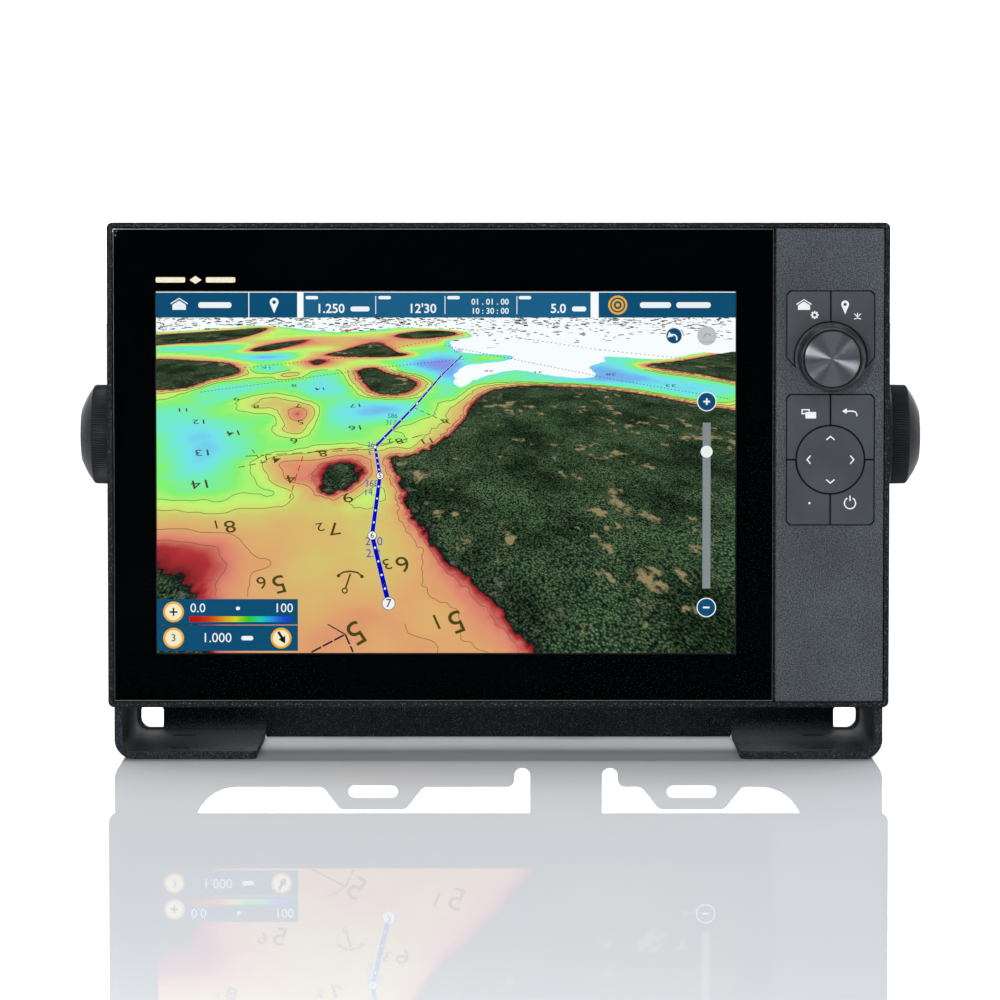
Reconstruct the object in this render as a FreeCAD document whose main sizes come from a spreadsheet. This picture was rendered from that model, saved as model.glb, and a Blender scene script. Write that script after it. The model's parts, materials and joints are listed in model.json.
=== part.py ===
import FreeCAD, Part
import math
import os
import Sketcher

# Chartplotter display on a bent sheet-metal bracket. Millimetres, +Z up, +X to the right of someone
# facing the screen, which looks along -Y. The origin is the middle of the four deck slots, on the deck.

Vector = FreeCAD.Vector
doc = FreeCAD.newDocument("chartplotter_display")
sheet = doc.addObject("Spreadsheet::Sheet", "Sizes")
pieces = []


# ---------------------------------------------------------------- sizes that remember their cells


def text_of(value):
    return value.text if isinstance(value, Size) else repr(float(value))


class Size(float):
    """A number together with the spreadsheet expression that it is worked out from."""

    def __new__(cls, value, text):
        made = float.__new__(cls, value)
        made.text = text
        return made

    def __add__(self, other):
        return Size(float(self) + float(other), f"({self.text} + {text_of(other)})")

    def __radd__(self, other):
        return Size(float(other) + float(self), f"({text_of(other)} + {self.text})")

    def __sub__(self, other):
        return Size(float(self) - float(other), f"({self.text} - {text_of(other)})")

    def __rsub__(self, other):
        return Size(float(other) - float(self), f"({text_of(other)} - {self.text})")

    def __mul__(self, other):
        return Size(float(self) * float(other), f"({self.text} * {text_of(other)})")

    def __rmul__(self, other):
        return Size(float(other) * float(self), f"({text_of(other)} * {self.text})")

    def __truediv__(self, other):
        return Size(float(self) / float(other), f"({self.text} / {text_of(other)})")

    def __neg__(self):
        return Size(-float(self), f"(0 - {self.text})")


def root(value):
    return Size(math.sqrt(value), f"sqrt({value.text})")


def size(alias, value, meaning):
    """Adds a driving dimension to the sheet."""
    size.row += 1
    sheet.set(f"A{size.row}", meaning)
    sheet.set(f"B{size.row}", str(value))
    sheet.setAlias(f"B{size.row}", alias)
    return Size(value, f"Sizes.{alias}")


size.row = 0

# Bracket, one folded plate
plate = size("plate", 3.6, "thickness of the bracket's sheet")
arm_x = size("arm_x", 174.3, "middle plane to the outer face of an arm")
foot_x = size("foot_x", 110.0, "middle plane to the inner edge of a foot")
foot_front = size("foot_front", -44.0, "front edge of the feet and arms")
foot_rear = size("foot_rear", 62.5, "rear face of the upright wall")
bend = size("bend", 9.0, "outer radius of every fold")
arm_top = size("arm_top", 176.0, "top of the arms")
wall_top = size("wall_top", 24.0, "top edge of the rear wall")
flange_x = size("flange_x", 144.3, "middle plane to the inner edge of an arm's rear flange")
flange_top = size("flange_top", 60.0, "top of an arm's rear flange")
tab_rise = size("tab_rise", 10.7, "height of a cable-tie tab above the wall")
tongue_top = size("tongue_top", 47.6, "top of the centre tongue")
slot_length = size("slot_length", 12.0, "length of a deck slot")
slot_width = size("slot_width", 7.0, "width of a deck slot")
slot_x = size("slot_x", 147.0, "middle plane to the middle of a deck slot")
slot_y = size("slot_y", 30.0, "origin to the middle of a deck slot, front to back")
pivot_y = size("pivot_y", -4.0, "tilt axis, front to back")
pivot_z = size("pivot_z", 146.0, "tilt axis above the deck")
stud_radius = size("stud_radius", 4.0, "clamp stud")

# Side clamps
pad_thickness = size("pad_thickness", 2.1, "friction pad between case and arm")
washer_thickness = size("washer_thickness", 2.0, "washer under the clamp knob")
grip_radius = size("grip_radius", 22.8, "ribbed grip of the clamp knob")
hub_radius = size("hub_radius", 20.0, "hub of the clamp knob")
grip_start = size("grip_start", 177.6, "middle plane to the inner end of the grip")
grip_end = size("grip_end", 188.6, "middle plane to the outer end of the grip")
knob_end = size("knob_end", 193.5, "middle plane to the flat face of the clamp knob")

# Front of the display
front_y = size("front_y", -54.0, "front plane of the front frame")
middle_z = size("middle_z", 134.0, "middle of the front frame above the deck")
frame_width = size("frame_width", 352.7, "front frame across")
frame_height = size("frame_height", 219.0, "front frame from bottom to top")
frame_depth = size("frame_depth", 9.5, "front frame, front to back")
rim = size("rim", 2.3, "width of the front frame's rim")
frame_corner = size("frame_corner", 2.75, "corner radius of the front frame")
recess = size("recess", 3.0, "depth of the glass recess")
shelf = size("shelf", 2.5, "thickness of the shelf behind the glass")
inset = size("inset", 0.3, "glass and control panel below the rim")
edge_gap = size("edge_gap", 0.35, "gap round the glass and the control panel")
glass_right = size("glass_right", 124.05, "right edge of the glass")
panel_left = size("panel_left", 125.0, "left edge of the control panel")
glass_thickness = size("glass_thickness", 2.0, "cover glass")
mask_thickness = size("mask_thickness", 0.2, "printed border film")
screen_width = size("screen_width", 261.12, "lit area across, 12.1 inch at 16:10")
screen_height = size("screen_height", 163.2, "lit area from bottom to top")
screen_x = size("screen_x", -23.7, "middle of the lit area")
screen_drop = size("screen_drop", 3.4, "middle of the lit area below the frame's middle")
lcd_width = size("lcd_width", 272.0, "liquid-crystal panel across")
lcd_height = size("lcd_height", 176.0, "liquid-crystal panel from bottom to top")

# Keys and knobs
panel_thickness = size("panel_thickness", 2.5, "control panel moulding")
key_x = size("key_x", 149.6, "middle of both key groups")
key_gap = size("key_gap", 0.5, "gap between neighbouring keys")
key_margin = size("key_margin", 0.4, "gap between the keys and the panel")
key_height = size("key_height", 4.5, "depth of a key cap")
key_proud = size("key_proud", 0.4, "key face in front of the panel")
key_corner = size("key_corner", 1.7, "bevelled outer corner of a key")
group_half = size("group_half", 19.6, "half the width of a key group")
upper_top = size("upper_top", 212.4, "top of the upper key group")
upper_side = size("upper_side", 182.7, "where the upper group's slanting ends begin")
dial_z = size("dial_z", 182.3, "rotary knob's axis above the deck")
dial_clear = size("dial_clear", 16.5, "radius of the keys' cut-out round the rotary knob")
tip_drop = size("tip_drop", 3.2, "upper keys' tips below the rotary knob's axis")
lower_top = size("lower_top", 165.9, "top of the lower key group")
lower_bottom = size("lower_bottom", 107.3, "bottom of the lower key group")
pad_z = size("pad_z", 136.6, "middle of the cursor pad")
pad_radius = size("pad_radius", 15.2, "cursor pad")
dial_radius = size("dial_radius", 15.5, "rotary knob")
dial_rise = size("dial_rise", 13.5, "rotary knob in front of the frame")
cap_radius = size("cap_radius", 12.4, "metal cap of the rotary knob")
shaft_radius = size("shaft_radius", 3.0, "encoder shaft")

# Case
case_x = size("case_x", 168.5, "middle plane to the side of the case")
case_bottom = size("case_bottom", 40.0, "underside of the case")
case_top = size("case_top", 228.0, "top of the case")
case_rear = size("case_rear", 10.0, "rear face of the case")
wall = size("wall", 3.0, "wall of the case")
lip_width = size("lip_width", 346.5, "case lip across, inside the front frame")
lip_height = size("lip_height", 212.5, "case lip from bottom to top")
lip_thickness = size("lip_thickness", 2.4, "case lip, front to back")
seal_thickness = size("seal_thickness", 1.5, "seal between frame and case")
fin_pitch = size("fin_pitch", 10.0, "cooling fins, middle to middle")
fin_depth = size("fin_depth", 9.0, "cooling fins behind the case")

arm_inner = arm_x - plate
lip_front = front_y + recess + shelf + seal_thickness
glass_y = front_y + inset
shelf_y = front_y + recess
screen_z = middle_z - screen_drop
recess_width = frame_width - rim * 2
recess_height = frame_height - rim * 2
glass_height = recess_height - edge_gap * 2
doc.recompute()


# ---------------------------------------------------------------- drawing helpers


def bind(thing, name, value):
    """Ties a property to the sheet when its value comes from there, and sets it plainly otherwise."""
    if isinstance(value, Size):
        thing.setExpression(name, value.text)
    else:
        setattr(thing, name, value)


def place(thing, x, y, z, turn=None):
    turn = turn or FreeCAD.Rotation()
    thing.Placement = FreeCAD.Placement(Vector(float(x), float(y), float(z)), turn)
    for axis, value in zip("xyz", (x, y, z)):
        if isinstance(value, Size):
            thing.setExpression(f"Placement.Base.{axis}", value.text)


def new_body(label):
    body = doc.addObject("PartDesign::Body", label)
    body.Label = label
    pieces.append(body)
    return body


def add_sketch(body, plane, lift=0.0):
    """A sketch on one of the body's own planes, lifted along the plane's normal."""
    sketch = body.newObject("Sketcher::SketchObject", body.Name + "_sketch")
    flat = next(f for f in body.Origin.OriginFeatures if f.Role == plane)
    sketch.AttachmentSupport = [(flat, "")]
    sketch.MapMode = "FlatFace"
    sketch.AttachmentOffset = FreeCAD.Placement(Vector(0, 0, float(lift)), FreeCAD.Rotation())
    if isinstance(lift, Size):
        sketch.setExpression("AttachmentOffset.Base.z", lift.text)
    return sketch


def rectangle(x, y, width, height):
    """Corners of a rectangle round (x, y)."""
    return [
        (x - width / 2, y - height / 2),
        (x + width / 2, y - height / 2),
        (x + width / 2, y + height / 2),
        (x - width / 2, y + height / 2),
    ]


def arc_between(start, end, radius):
    """The shorter arc between two points; it turns left when the radius is positive."""
    half = (end - start) * 0.5
    reach = math.sqrt(max(radius**2 - half.Length**2, 0.0))
    side = Vector(-half.y, half.x, 0).normalize() * math.copysign(reach, radius)
    centre = start + half + side
    first = math.atan2(start.y - centre.y, start.x - centre.x)
    last = math.atan2(end.y - centre.y, end.x - centre.x)
    if radius < 0:
        first, last = last, first
    if last < first:
        last += 2 * math.pi
    circle = Part.Circle(centre, Vector(0, 0, 1), abs(radius))
    return Part.ArcOfCircle(circle, first, last)


def tie(sketch, rules):
    """Adds constraints, each with the sheet size that drives it or None."""
    for constraint, value in rules:
        index = sketch.addConstraint(constraint)
        if isinstance(value, Size):
            sketch.renameConstraint(index, f"rule_{index}")
            sketch.setExpression(f"Constraints.rule_{index}", value.text)


def pin_point(item, end, x, y):
    """Constraints that hold one point of a drawn item at (x, y)."""
    rules = []
    for kind, axis, value in (("DistanceX", -2, x), ("DistanceY", -1, y)):
        if float(value) == 0.0 and not isinstance(value, Size):
            rules.append((Sketcher.Constraint("PointOnObject", item, end, axis), None))
        else:
            rules.append((Sketcher.Constraint(kind, -1, 1, item, end, float(value)), value))
    return rules


def draw_circle(sketch, x, y, radius):
    circle = Part.Circle(Vector(float(x), float(y), 0), Vector(0, 0, 1), float(radius))
    item = sketch.addGeometry(circle, False)
    rules = pin_point(item, 3, x, y)
    rules.append((Sketcher.Constraint("Radius", item, float(radius)), radius))
    tie(sketch, rules)


def draw_outline(sketch, corners):
    """A closed outline. A corner is (x, y), or (x, y, radius) when an arc leads on from it."""
    points = [Vector(float(c[0]), float(c[1]), 0) for c in corners]
    items = []
    for i, corner in enumerate(corners):
        start, end = points[i], points[(i + 1) % len(points)]
        if len(corner) == 3:
            item = sketch.addGeometry(arc_between(start, end, float(corner[2])), False)
            items.append((item, (1, 2) if corner[2] > 0 else (2, 1)))
        else:
            items.append((sketch.addGeometry(Part.LineSegment(start, end), False), (1, 2)))
    rules = []
    for i, (item, ends) in enumerate(items):
        following, following_ends = items[(i + 1) % len(items)]
        joined = Sketcher.Constraint("Coincident", item, ends[1], following, following_ends[0])
        rules.append((joined, None))
    for corner, (item, ends) in zip(corners, items):
        rules += pin_point(item, ends[0], corner[0], corner[1])
        if len(corner) == 3:
            radius = corner[2] if corner[2] > 0 else -corner[2]
            rules.append((Sketcher.Constraint("Radius", item, float(radius)), radius))
    tie(sketch, rules)


def draw(sketch, shapes):
    """Circles are (x, y, radius) tuples and outlines are lists of corners."""
    for shape in shapes:
        if isinstance(shape, tuple):
            draw_circle(sketch, *shape)
        else:
            draw_outline(sketch, shape)


def extrude(body, plane, shapes, length, lift=0.0, reverse=False, cut=False):
    """Pads or pockets shapes drawn on a plane of the body, and checks which way the volume went."""
    doc.recompute()
    before = body.Shape.Volume if body.Tip else 0.0
    sketch = add_sketch(body, plane, lift)
    draw(sketch, shapes)
    feature = body.newObject("PartDesign::Pocket" if cut else "PartDesign::Pad", body.Name + "_step")
    feature.Profile = sketch
    feature.Reversed = reverse
    if length is None:
        feature.Type = "ThroughAll"
    else:
        bind(feature, "Length", length)
    doc.recompute()
    change = body.Shape.Volume - before
    if (cut and change > -1e-3) or (not cut and change < 1e-3):
        raise RuntimeError(f"{feature.Name}: a {'cut' if cut else 'pad'} changed the volume by {change}")
    return feature


def back(body, shapes, length, start=0.0):
    """Adds material behind the plane 'start', which lies that far behind the piece's own front."""
    return extrude(body, "XZ_Plane", shapes, length, lift=-start if start else 0.0, reverse=True)


def carve(body, shapes, depth=None, start=0.0):
    """Cuts from the plane 'start' towards the back."""
    return extrude(body, "XZ_Plane", shapes, depth, lift=-start if start else 0.0, cut=True)


def straight_edges(body, axis, spots):
    """Names of the edges along one axis that pass through the spots, given by their other coordinates."""
    main = "XYZ".index(axis)
    others = [i for i in range(3) if i != main]
    names = []
    for number, edge in enumerate(body.Tip.Shape.Edges, 1):
        if len(edge.Vertexes) != 2:
            continue
        first, last = (vertex.Point for vertex in edge.Vertexes)
        if abs(abs(last[main] - first[main]) - edge.Length) > 1e-5 or edge.Length < 1e-3:
            continue
        for spot in spots:
            if all(abs(first[i] - float(value)) < 0.05 for i, value in zip(others, spot)):
                names.append(f"Edge{number}")
                break
    return names


def flat_edges(body, y):
    """Names of all the edges that lie in the plane at y, measured from the piece's front."""
    names = []
    for number, edge in enumerate(body.Tip.Shape.Edges, 1):
        box = edge.BoundBox
        if abs(box.YMin - float(y)) < 1e-4 and abs(box.YMax - float(y)) < 1e-4:
            names.append(f"Edge{number}")
    return names


def dress(body, kind, radius, names):
    """A fillet or a chamfer on the named edges of the body so far."""
    if not names:
        raise RuntimeError(f"{body.Label}: no edges to dress")
    base = body.Tip
    feature = body.newObject("PartDesign::" + kind, body.Name + "_" + kind.lower())
    feature.Base = (base, names)
    bind(feature, "Radius" if kind == "Fillet" else "Size", radius)
    doc.recompute()
    if "Invalid" in feature.State:
        raise RuntimeError(f"{body.Label}: {kind} of {float(radius)} failed on {names}")
    return feature


def corners_of(width, height):
    return [(sx * float(width) / 2, sz * float(height) / 2) for sx in (-1, 1) for sz in (-1, 1)]


def slab(label, width, height, depth, at, corner=None, openings=(), front_edge=None):
    """A flat piece facing the front: a rounded plate with openings, placed by the middle of its front."""
    body = new_body(label)
    back(body, [rectangle(0.0, 0.0, width, height)], depth)
    if corner:
        dress(body, "Fillet", corner, straight_edges(body, "Y", corners_of(width, height)))
    if front_edge:
        dress(body, "Chamfer", front_edge, flat_edges(body, 0))
    if openings:
        carve(body, openings)
    place(body, *at)
    return body


def turned(label, axis, outline, at):
    """A piece turned about an axis through 'at'. The outline is (distance along, radius) points."""
    body = new_body(label)
    sketch = add_sketch(body, "XY_Plane")
    if axis == "X":
        draw_outline(sketch, outline)
    else:
        draw_outline(sketch, [(radius, along) for along, radius in outline])
    spin = body.newObject("PartDesign::Revolution", label + "_turning")
    spin.Profile = sketch
    spin.ReferenceAxis = (sketch, ["H_Axis" if axis == "X" else "V_Axis"])
    spin.Angle = 360
    doc.recompute()
    place(body, *at)
    return body


def disc(radius, start, end, x, z):
    """A cylinder from y = start to y = end, for a group of fasteners."""
    thing = doc.addObject("Part::Cylinder", "disc")
    bind(thing, "Radius", radius)
    bind(thing, "Height", end - start)
    place(thing, x, start, z, FreeCAD.Rotation(Vector(1, 0, 0), -90))
    return thing


def brick(x, y, z, width, depth, height):
    """A box from its low corner."""
    thing = doc.addObject("Part::Box", "brick")
    bind(thing, "Length", width)
    bind(thing, "Width", depth)
    bind(thing, "Height", height)
    place(thing, x, y, z)
    return thing


def joined(items, label="joined"):
    fused = doc.addObject("Part::MultiFuse", label)
    fused.Shapes = items
    return fused


def group(label, items):
    """Identical small parts that share one node, each a solid of its own."""
    holder = doc.addObject("Part::Compound", label)
    holder.Label = label
    holder.Links = items
    pieces.append(holder)
    return holder


def rear_screws(label, places, seat, head_radius, head_height, shank_radius, shank_length):
    """Screws driven from behind: the heads lie behind the seat and the shanks point to the front."""
    screws = []
    for x, z in places:
        head = disc(head_radius, seat, seat + head_height, x, z)
        shank = disc(shank_radius, seat - shank_length, seat + 0.5, x, z)
        screws.append(joined([head, shank]))
    return group(label, screws)


# ---------------------------------------------------------------- bracket


def mounting_bracket():
    """One folded plate: two feet, two arms, and a rear wall with cable-tie tabs and a tongue."""
    body = new_body("mounting_bracket")
    tab_top = wall_top + tab_rise
    left_tab, right_tab, tab_half, tab_base = -59.4, 91.5, 15.5, 23.8
    tongue_left, tongue_right, notch, notch_bottom = 15.0, 49.0, 7.5, 15.0
    flange_shoulder, flange_crown = 45.0, 158.0
    wall_outline = [
        (-arm_x, 0.0),
        (arm_x, 0.0),
        (arm_x, flange_top),
        (flange_crown, flange_top),
        (flange_x, flange_shoulder),
        (flange_x, wall_top),
        (right_tab + tab_base, wall_top),
        (right_tab + tab_half, tab_top),
        (right_tab - tab_half, tab_top),
        (right_tab - tab_base, wall_top),
        (tongue_right + notch, wall_top),
        (tongue_right + notch, notch_bottom),
        (tongue_right, notch_bottom),
        (tongue_right, tongue_top),
        (tongue_left, tongue_top),
        (tongue_left, notch_bottom),
        (tongue_left - notch, notch_bottom),
        (tongue_left - notch, wall_top),
        (left_tab + tab_base, wall_top),
        (left_tab + tab_half, tab_top),
        (left_tab - tab_half, tab_top),
        (left_tab - tab_base, wall_top),
        (-flange_x, wall_top),
        (-flange_x, flange_shoulder),
        (-flange_crown, flange_top),
        (-arm_x, flange_top),
    ]
    extrude(body, "XZ_Plane", [wall_outline], plate, lift=-foot_rear)
    depth = foot_rear - foot_front
    sides = []
    for side in (-1, 1):
        outer, inner, toe = arm_x * side, arm_inner * side, foot_x * side
        sides.append(
            [(toe, 0.0), (outer, 0.0), (outer, arm_top), (inner, arm_top), (inner, plate), (toe, plate)]
        )
    extrude(body, "XZ_Plane", sides, depth, lift=-foot_rear)

    # Folds, inside first. Every fold keeps the plate's thickness.
    inner_bend = bend - plate
    inner_folds = straight_edges(body, "Y", [(s * arm_inner, plate) for s in (-1, 1)])
    inner_folds += straight_edges(body, "X", [(foot_rear - plate, plate)])
    inner_folds += straight_edges(body, "Z", [(s * arm_inner, foot_rear - plate) for s in (-1, 1)])
    dress(body, "Fillet", inner_bend, inner_folds)
    extrude(
        body,
        "XZ_Plane",
        [round_off(side * arm_x, 0.0, side, -1, bend) for side in (-1, 1)],
        depth + 2,
        lift=1 - foot_front,
        cut=True,
    )
    for side in (-1, 1):
        extrude(
            body,
            "YZ_Plane",
            [round_off(foot_rear, 0.0, 1, -1, bend)],
            arm_x - foot_x + 1,
            lift=side * foot_x,
            reverse=side > 0,
            cut=True,
        )
    extrude(
        body,
        "XY_Plane",
        [round_off(side * arm_x, foot_rear, side, 1, bend) for side in (-1, 1)],
        arm_top + 2,
        lift=-1,
        reverse=True,
        cut=True,
    )

    # The arms narrow towards the pivot. Each cut takes both arms at once.
    past = arm_x * 2 + 10
    far = 200.0
    crown_front, crown_rear, front_shoulder = -34.0, 26.0, 118.0
    extrude(
        body,
        "YZ_Plane",
        [
            [(foot_front - 1, front_shoulder), (foot_front, front_shoulder), (crown_front, arm_top)]
            + [(crown_front, far), (foot_front - 1, far)],
            [(foot_rear + 1, flange_top), (foot_rear + 1, far), (crown_rear, far)]
            + [(crown_rear, arm_top), (foot_rear, flange_top)],
        ],
        past,
        lift=-past / 2,
        reverse=True,
        cut=True,
    )
    crown = 26.0
    dress(
        body,
        "Fillet",
        crown,
        straight_edges(body, "X", [(crown_front, arm_top), (crown_rear, arm_top)]),
    )
    shoulder = 30.0
    dress(body, "Fillet", shoulder, straight_edges(body, "X", [(foot_front, front_shoulder)]))

    # Rounded outline of the rear wall and the feet
    flange_corner = 20.5
    flange_spots = [(s * flange_x, wall_top) for s in (-1, 1)]
    dress(body, "Fillet", flange_corner, straight_edges(body, "Y", flange_spots))
    tab_corner = 4.0
    tab_spots = []
    for tab in (left_tab, right_tab):
        tab_spots += [(tab + s * tab_half, tab_top) for s in (-1, 1)]
        tab_spots += [(tab + s * tab_base, wall_top) for s in (-1, 1)]
    tab_spots += [(tongue_left, tongue_top), (tongue_right, tongue_top)]
    dress(body, "Fillet", tab_corner, straight_edges(body, "Y", tab_spots))
    notch_corner = 3.6
    notch_spots = [(tongue_left, notch_bottom), (tongue_left - notch, notch_bottom)]
    notch_spots += [(tongue_right, notch_bottom), (tongue_right + notch, notch_bottom)]
    notch_spots += [(tongue_left - notch, wall_top), (tongue_right + notch, wall_top)]
    dress(body, "Fillet", notch_corner, straight_edges(body, "Y", notch_spots))
    toe_corner = 4.0
    dress(
        body, "Fillet", toe_corner, straight_edges(body, "Z", [(s * foot_x, foot_front) for s in (-1, 1)])
    )

    # Openings: cable-tie slots, corner reliefs, deck slots, and the drop-in slots for the studs
    tie_half, tie_rise, tie_z = 11.8, 3.1, 26.4
    holes = [slot_outline(tab, tie_z, tie_half, tie_rise) for tab in (left_tab, right_tab)]
    extrude(body, "XZ_Plane", holes, plate + 2, lift=1 - foot_rear + plate, reverse=False, cut=True)
    relief_in, relief_out, relief_low, relief_high = 158.5, 169.1, 4.5, 14.6
    heel, ear = 4.6, 2.2
    reliefs = [
        [
            (s * relief_in, relief_low),
            (s * (relief_out - heel), relief_low, s * heel),
            (s * relief_out, relief_low + heel),
            (s * relief_out, relief_high - ear, s * ear),
            (s * (relief_out - ear), relief_high),
            (s * (relief_in + ear), relief_high, s * ear),
            (s * relief_in, relief_high - ear),
        ]
        for s in (-1, 1)
    ]
    extrude(body, "XZ_Plane", reliefs, bend + 1, lift=bend - foot_rear, cut=True)
    deck = [
        slot_outline(sx * slot_x, sy * slot_y, slot_length / 2, slot_width / 2)
        for sx in (-1, 1)
        for sy in (-1, 1)
    ]
    extrude(body, "XY_Plane", deck, plate + 1, reverse=True, cut=True)
    stud_slot = stud_radius + 0.6
    drop_in = [
        (pivot_y - stud_slot, arm_top + 1),
        (pivot_y - stud_slot, pivot_z, stud_slot),
        (pivot_y, pivot_z - stud_slot, stud_slot),
        (pivot_y + stud_slot, pivot_z),
        (pivot_y + stud_slot, arm_top + 1),
    ]
    extrude(body, "YZ_Plane", [drop_in], past, lift=-past / 2, reverse=True, cut=True)
    return body


def round_off(x, y, side_x, side_y, radius):
    """What is cut away to round the outside corner at (x, y), which points to (side_x, side_y)."""
    near_x, near_y = x - radius * side_x, y - radius * side_y
    return [
        (near_x, y, -radius * side_x * side_y),
        (x, near_y),
        (x + side_x, near_y),
        (x + side_x, y + side_y),
        (near_x, y + side_y),
    ]


def rounded_outline(x, y, half_width, half_height, radius):
    """A rectangle with round corners, anticlockwise from its lower left."""
    left, right, low, high = x - half_width, x + half_width, y - half_height, y + half_height
    return [
        (left + radius, low),
        (right - radius, low, radius),
        (right, low + radius),
        (right, high - radius, radius),
        (right - radius, high),
        (left + radius, high, radius),
        (left, high - radius),
        (left, low + radius, radius),
    ]


def slot_outline(x, y, half_length, half_width):
    """A slot along the first direction, its round ends drawn as two quarter arcs each."""
    left, right = x - half_length + half_width, x + half_length - half_width
    low, high = y - half_width, y + half_width
    return [
        (left, low),
        (right, low, half_width),
        (x + half_length, y, half_width),
        (right, high),
        (left, high, half_width),
        (x - half_length, y, half_width),
    ]


# ---------------------------------------------------------------- side clamps


def side_clamp(name, side):
    """Friction pad, threaded insert, washer, stud and ribbed knob of one side."""
    at = (0.0, pivot_y, pivot_z)
    running = 0.05
    bore = stud_radius + running

    def along(distance):
        return distance * side

    def ring(label, start, end, outer, inner):
        return turned(
            label,
            "X",
            [(along(start), inner), (along(end), inner), (along(end), outer), (along(start), outer)],
            at,
        )

    insert_start, insert_end, insert_radius, pad_outer = 151.0, 168.0, 6.5, 17.0
    ring(f"{name}_friction_pad", case_x, case_x + pad_thickness, pad_outer, stud_radius + 1.5)
    ring(f"{name}_thread_insert", insert_start, insert_end, insert_radius, bore)
    washer_start = arm_x + 0.1
    washer_end = washer_start + washer_thickness
    ring(f"{name}_clamp_washer", washer_start, washer_end, 18.0, bore)
    stud_start, stud_end, tip = 153.0, 187.0, 1.0
    turned(
        f"{name}_clamp_stud",
        "X",
        [
            (along(stud_start), 0.0),
            (along(stud_end), 0.0),
            (along(stud_end), stud_radius),
            (along(stud_start + tip), stud_radius),
            (along(stud_start), stud_radius - tip),
        ],
        at,
    )
    hub_start = washer_end + 0.1
    shoulder, crown_radius, core = 0.6, 13.0, stud_end + 0.1
    turned(
        f"{name}_clamp_knob",
        "X",
        [
            (along(hub_start), bore),
            (along(core), bore),
            (along(core), 0.0),
            (along(knob_end), 0.0),
            (along(knob_end), crown_radius - 1.5),
            (along(knob_end - 0.7), crown_radius),
            (along(grip_end), grip_radius - 2.0),
            (along(grip_end - shoulder), grip_radius),
            (along(grip_start + shoulder), grip_radius),
            (along(grip_start), grip_radius - shoulder),
            (along(grip_start), hub_radius),
            (along(hub_start), hub_radius),
        ],
        at,
    )


# ---------------------------------------------------------------- front of the display


def key_openings(x, z, grow):
    """Outlines of the two key groups, grown by a margin, about a piece whose middle is at (x, z).

    The upper group's tips are sharp, so they run on by 'sharpness' times the margin."""
    left, right = key_x - group_half - grow - x, key_x + group_half + grow - x
    clear = dial_clear - grow
    sharpness = 3.4
    drop = tip_drop + grow * sharpness
    reach = root(clear * clear - drop * drop)
    tip_z = dial_z - drop - z
    middle = key_x - x
    bevel = key_corner
    top, side_z = upper_top + grow - z, upper_side - grow / 2 - z
    upper = [
        (left, side_z),
        (middle - reach, tip_z, -clear),
        (middle, dial_z + clear - z, -clear),
        (middle + reach, tip_z),
        (right, side_z),
        (right, top - bevel),
        (right - bevel, top),
        (left + bevel, top),
        (left, top - bevel),
    ]
    top, bottom = lower_top + grow - z, lower_bottom - grow - z
    lower = [
        (left + bevel, bottom),
        (right - bevel, bottom),
        (right, bottom + bevel),
        (right, top - bevel),
        (right - bevel, top),
        (left + bevel, top),
        (left, top - bevel),
        (left, bottom + bevel),
    ]
    return upper, lower


frame_screw_places = [(x, z) for x in (-150.0, -50.0, 50.0, 150.0) for z in (35.5, 232.5)]
keypad_window = (149.4, 160.0, 40.8, 120.0)
frame_at = (0.0, front_y, middle_z)


def front_frame():
    """The moulded surround: a rim, a shelf for the glass and the panel, and a skirt round the case."""
    body = slab("front_frame", frame_width, frame_height, frame_depth, frame_at, frame_corner)
    front_break = 0.6
    dress(body, "Chamfer", front_break, flat_edges(body, 0))
    carve(body, [rectangle(0.0, 0.0, recess_width, recess_height)], recess)
    carve(body, [rectangle(0.0, 0.0, recess_width, recess_height)], None, start=recess + shelf)
    window_x, window_z, window_width, window_height = keypad_window
    carve(
        body,
        [
            rectangle(screen_x, -screen_drop, lcd_width + 2, lcd_height + 2),
            rectangle(window_x, window_z - middle_z, window_width, window_height),
        ],
        None,
        start=recess,
    )
    thread, depth = 1.55, 2.0
    holes = [(x, z - middle_z, thread) for x, z in frame_screw_places]
    carve(body, holes, depth + 0.2, start=recess + shelf - depth)
    return body


def control_panel():
    """Grained moulding to the right of the glass, cut out for the keys and the encoder."""
    width = recess_width / 2 - edge_gap - panel_left
    x = panel_left + width / 2
    body = slab(
        "control_panel", width, glass_height, panel_thickness, (x, glass_y, middle_z), 0.8, front_edge=0.35
    )
    carve(body, list(key_openings(x, middle_z, key_margin)))
    bush_hole = 4.6
    carve(body, [(key_x - x, dial_z - middle_z, bush_hole)])
    return body


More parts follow.
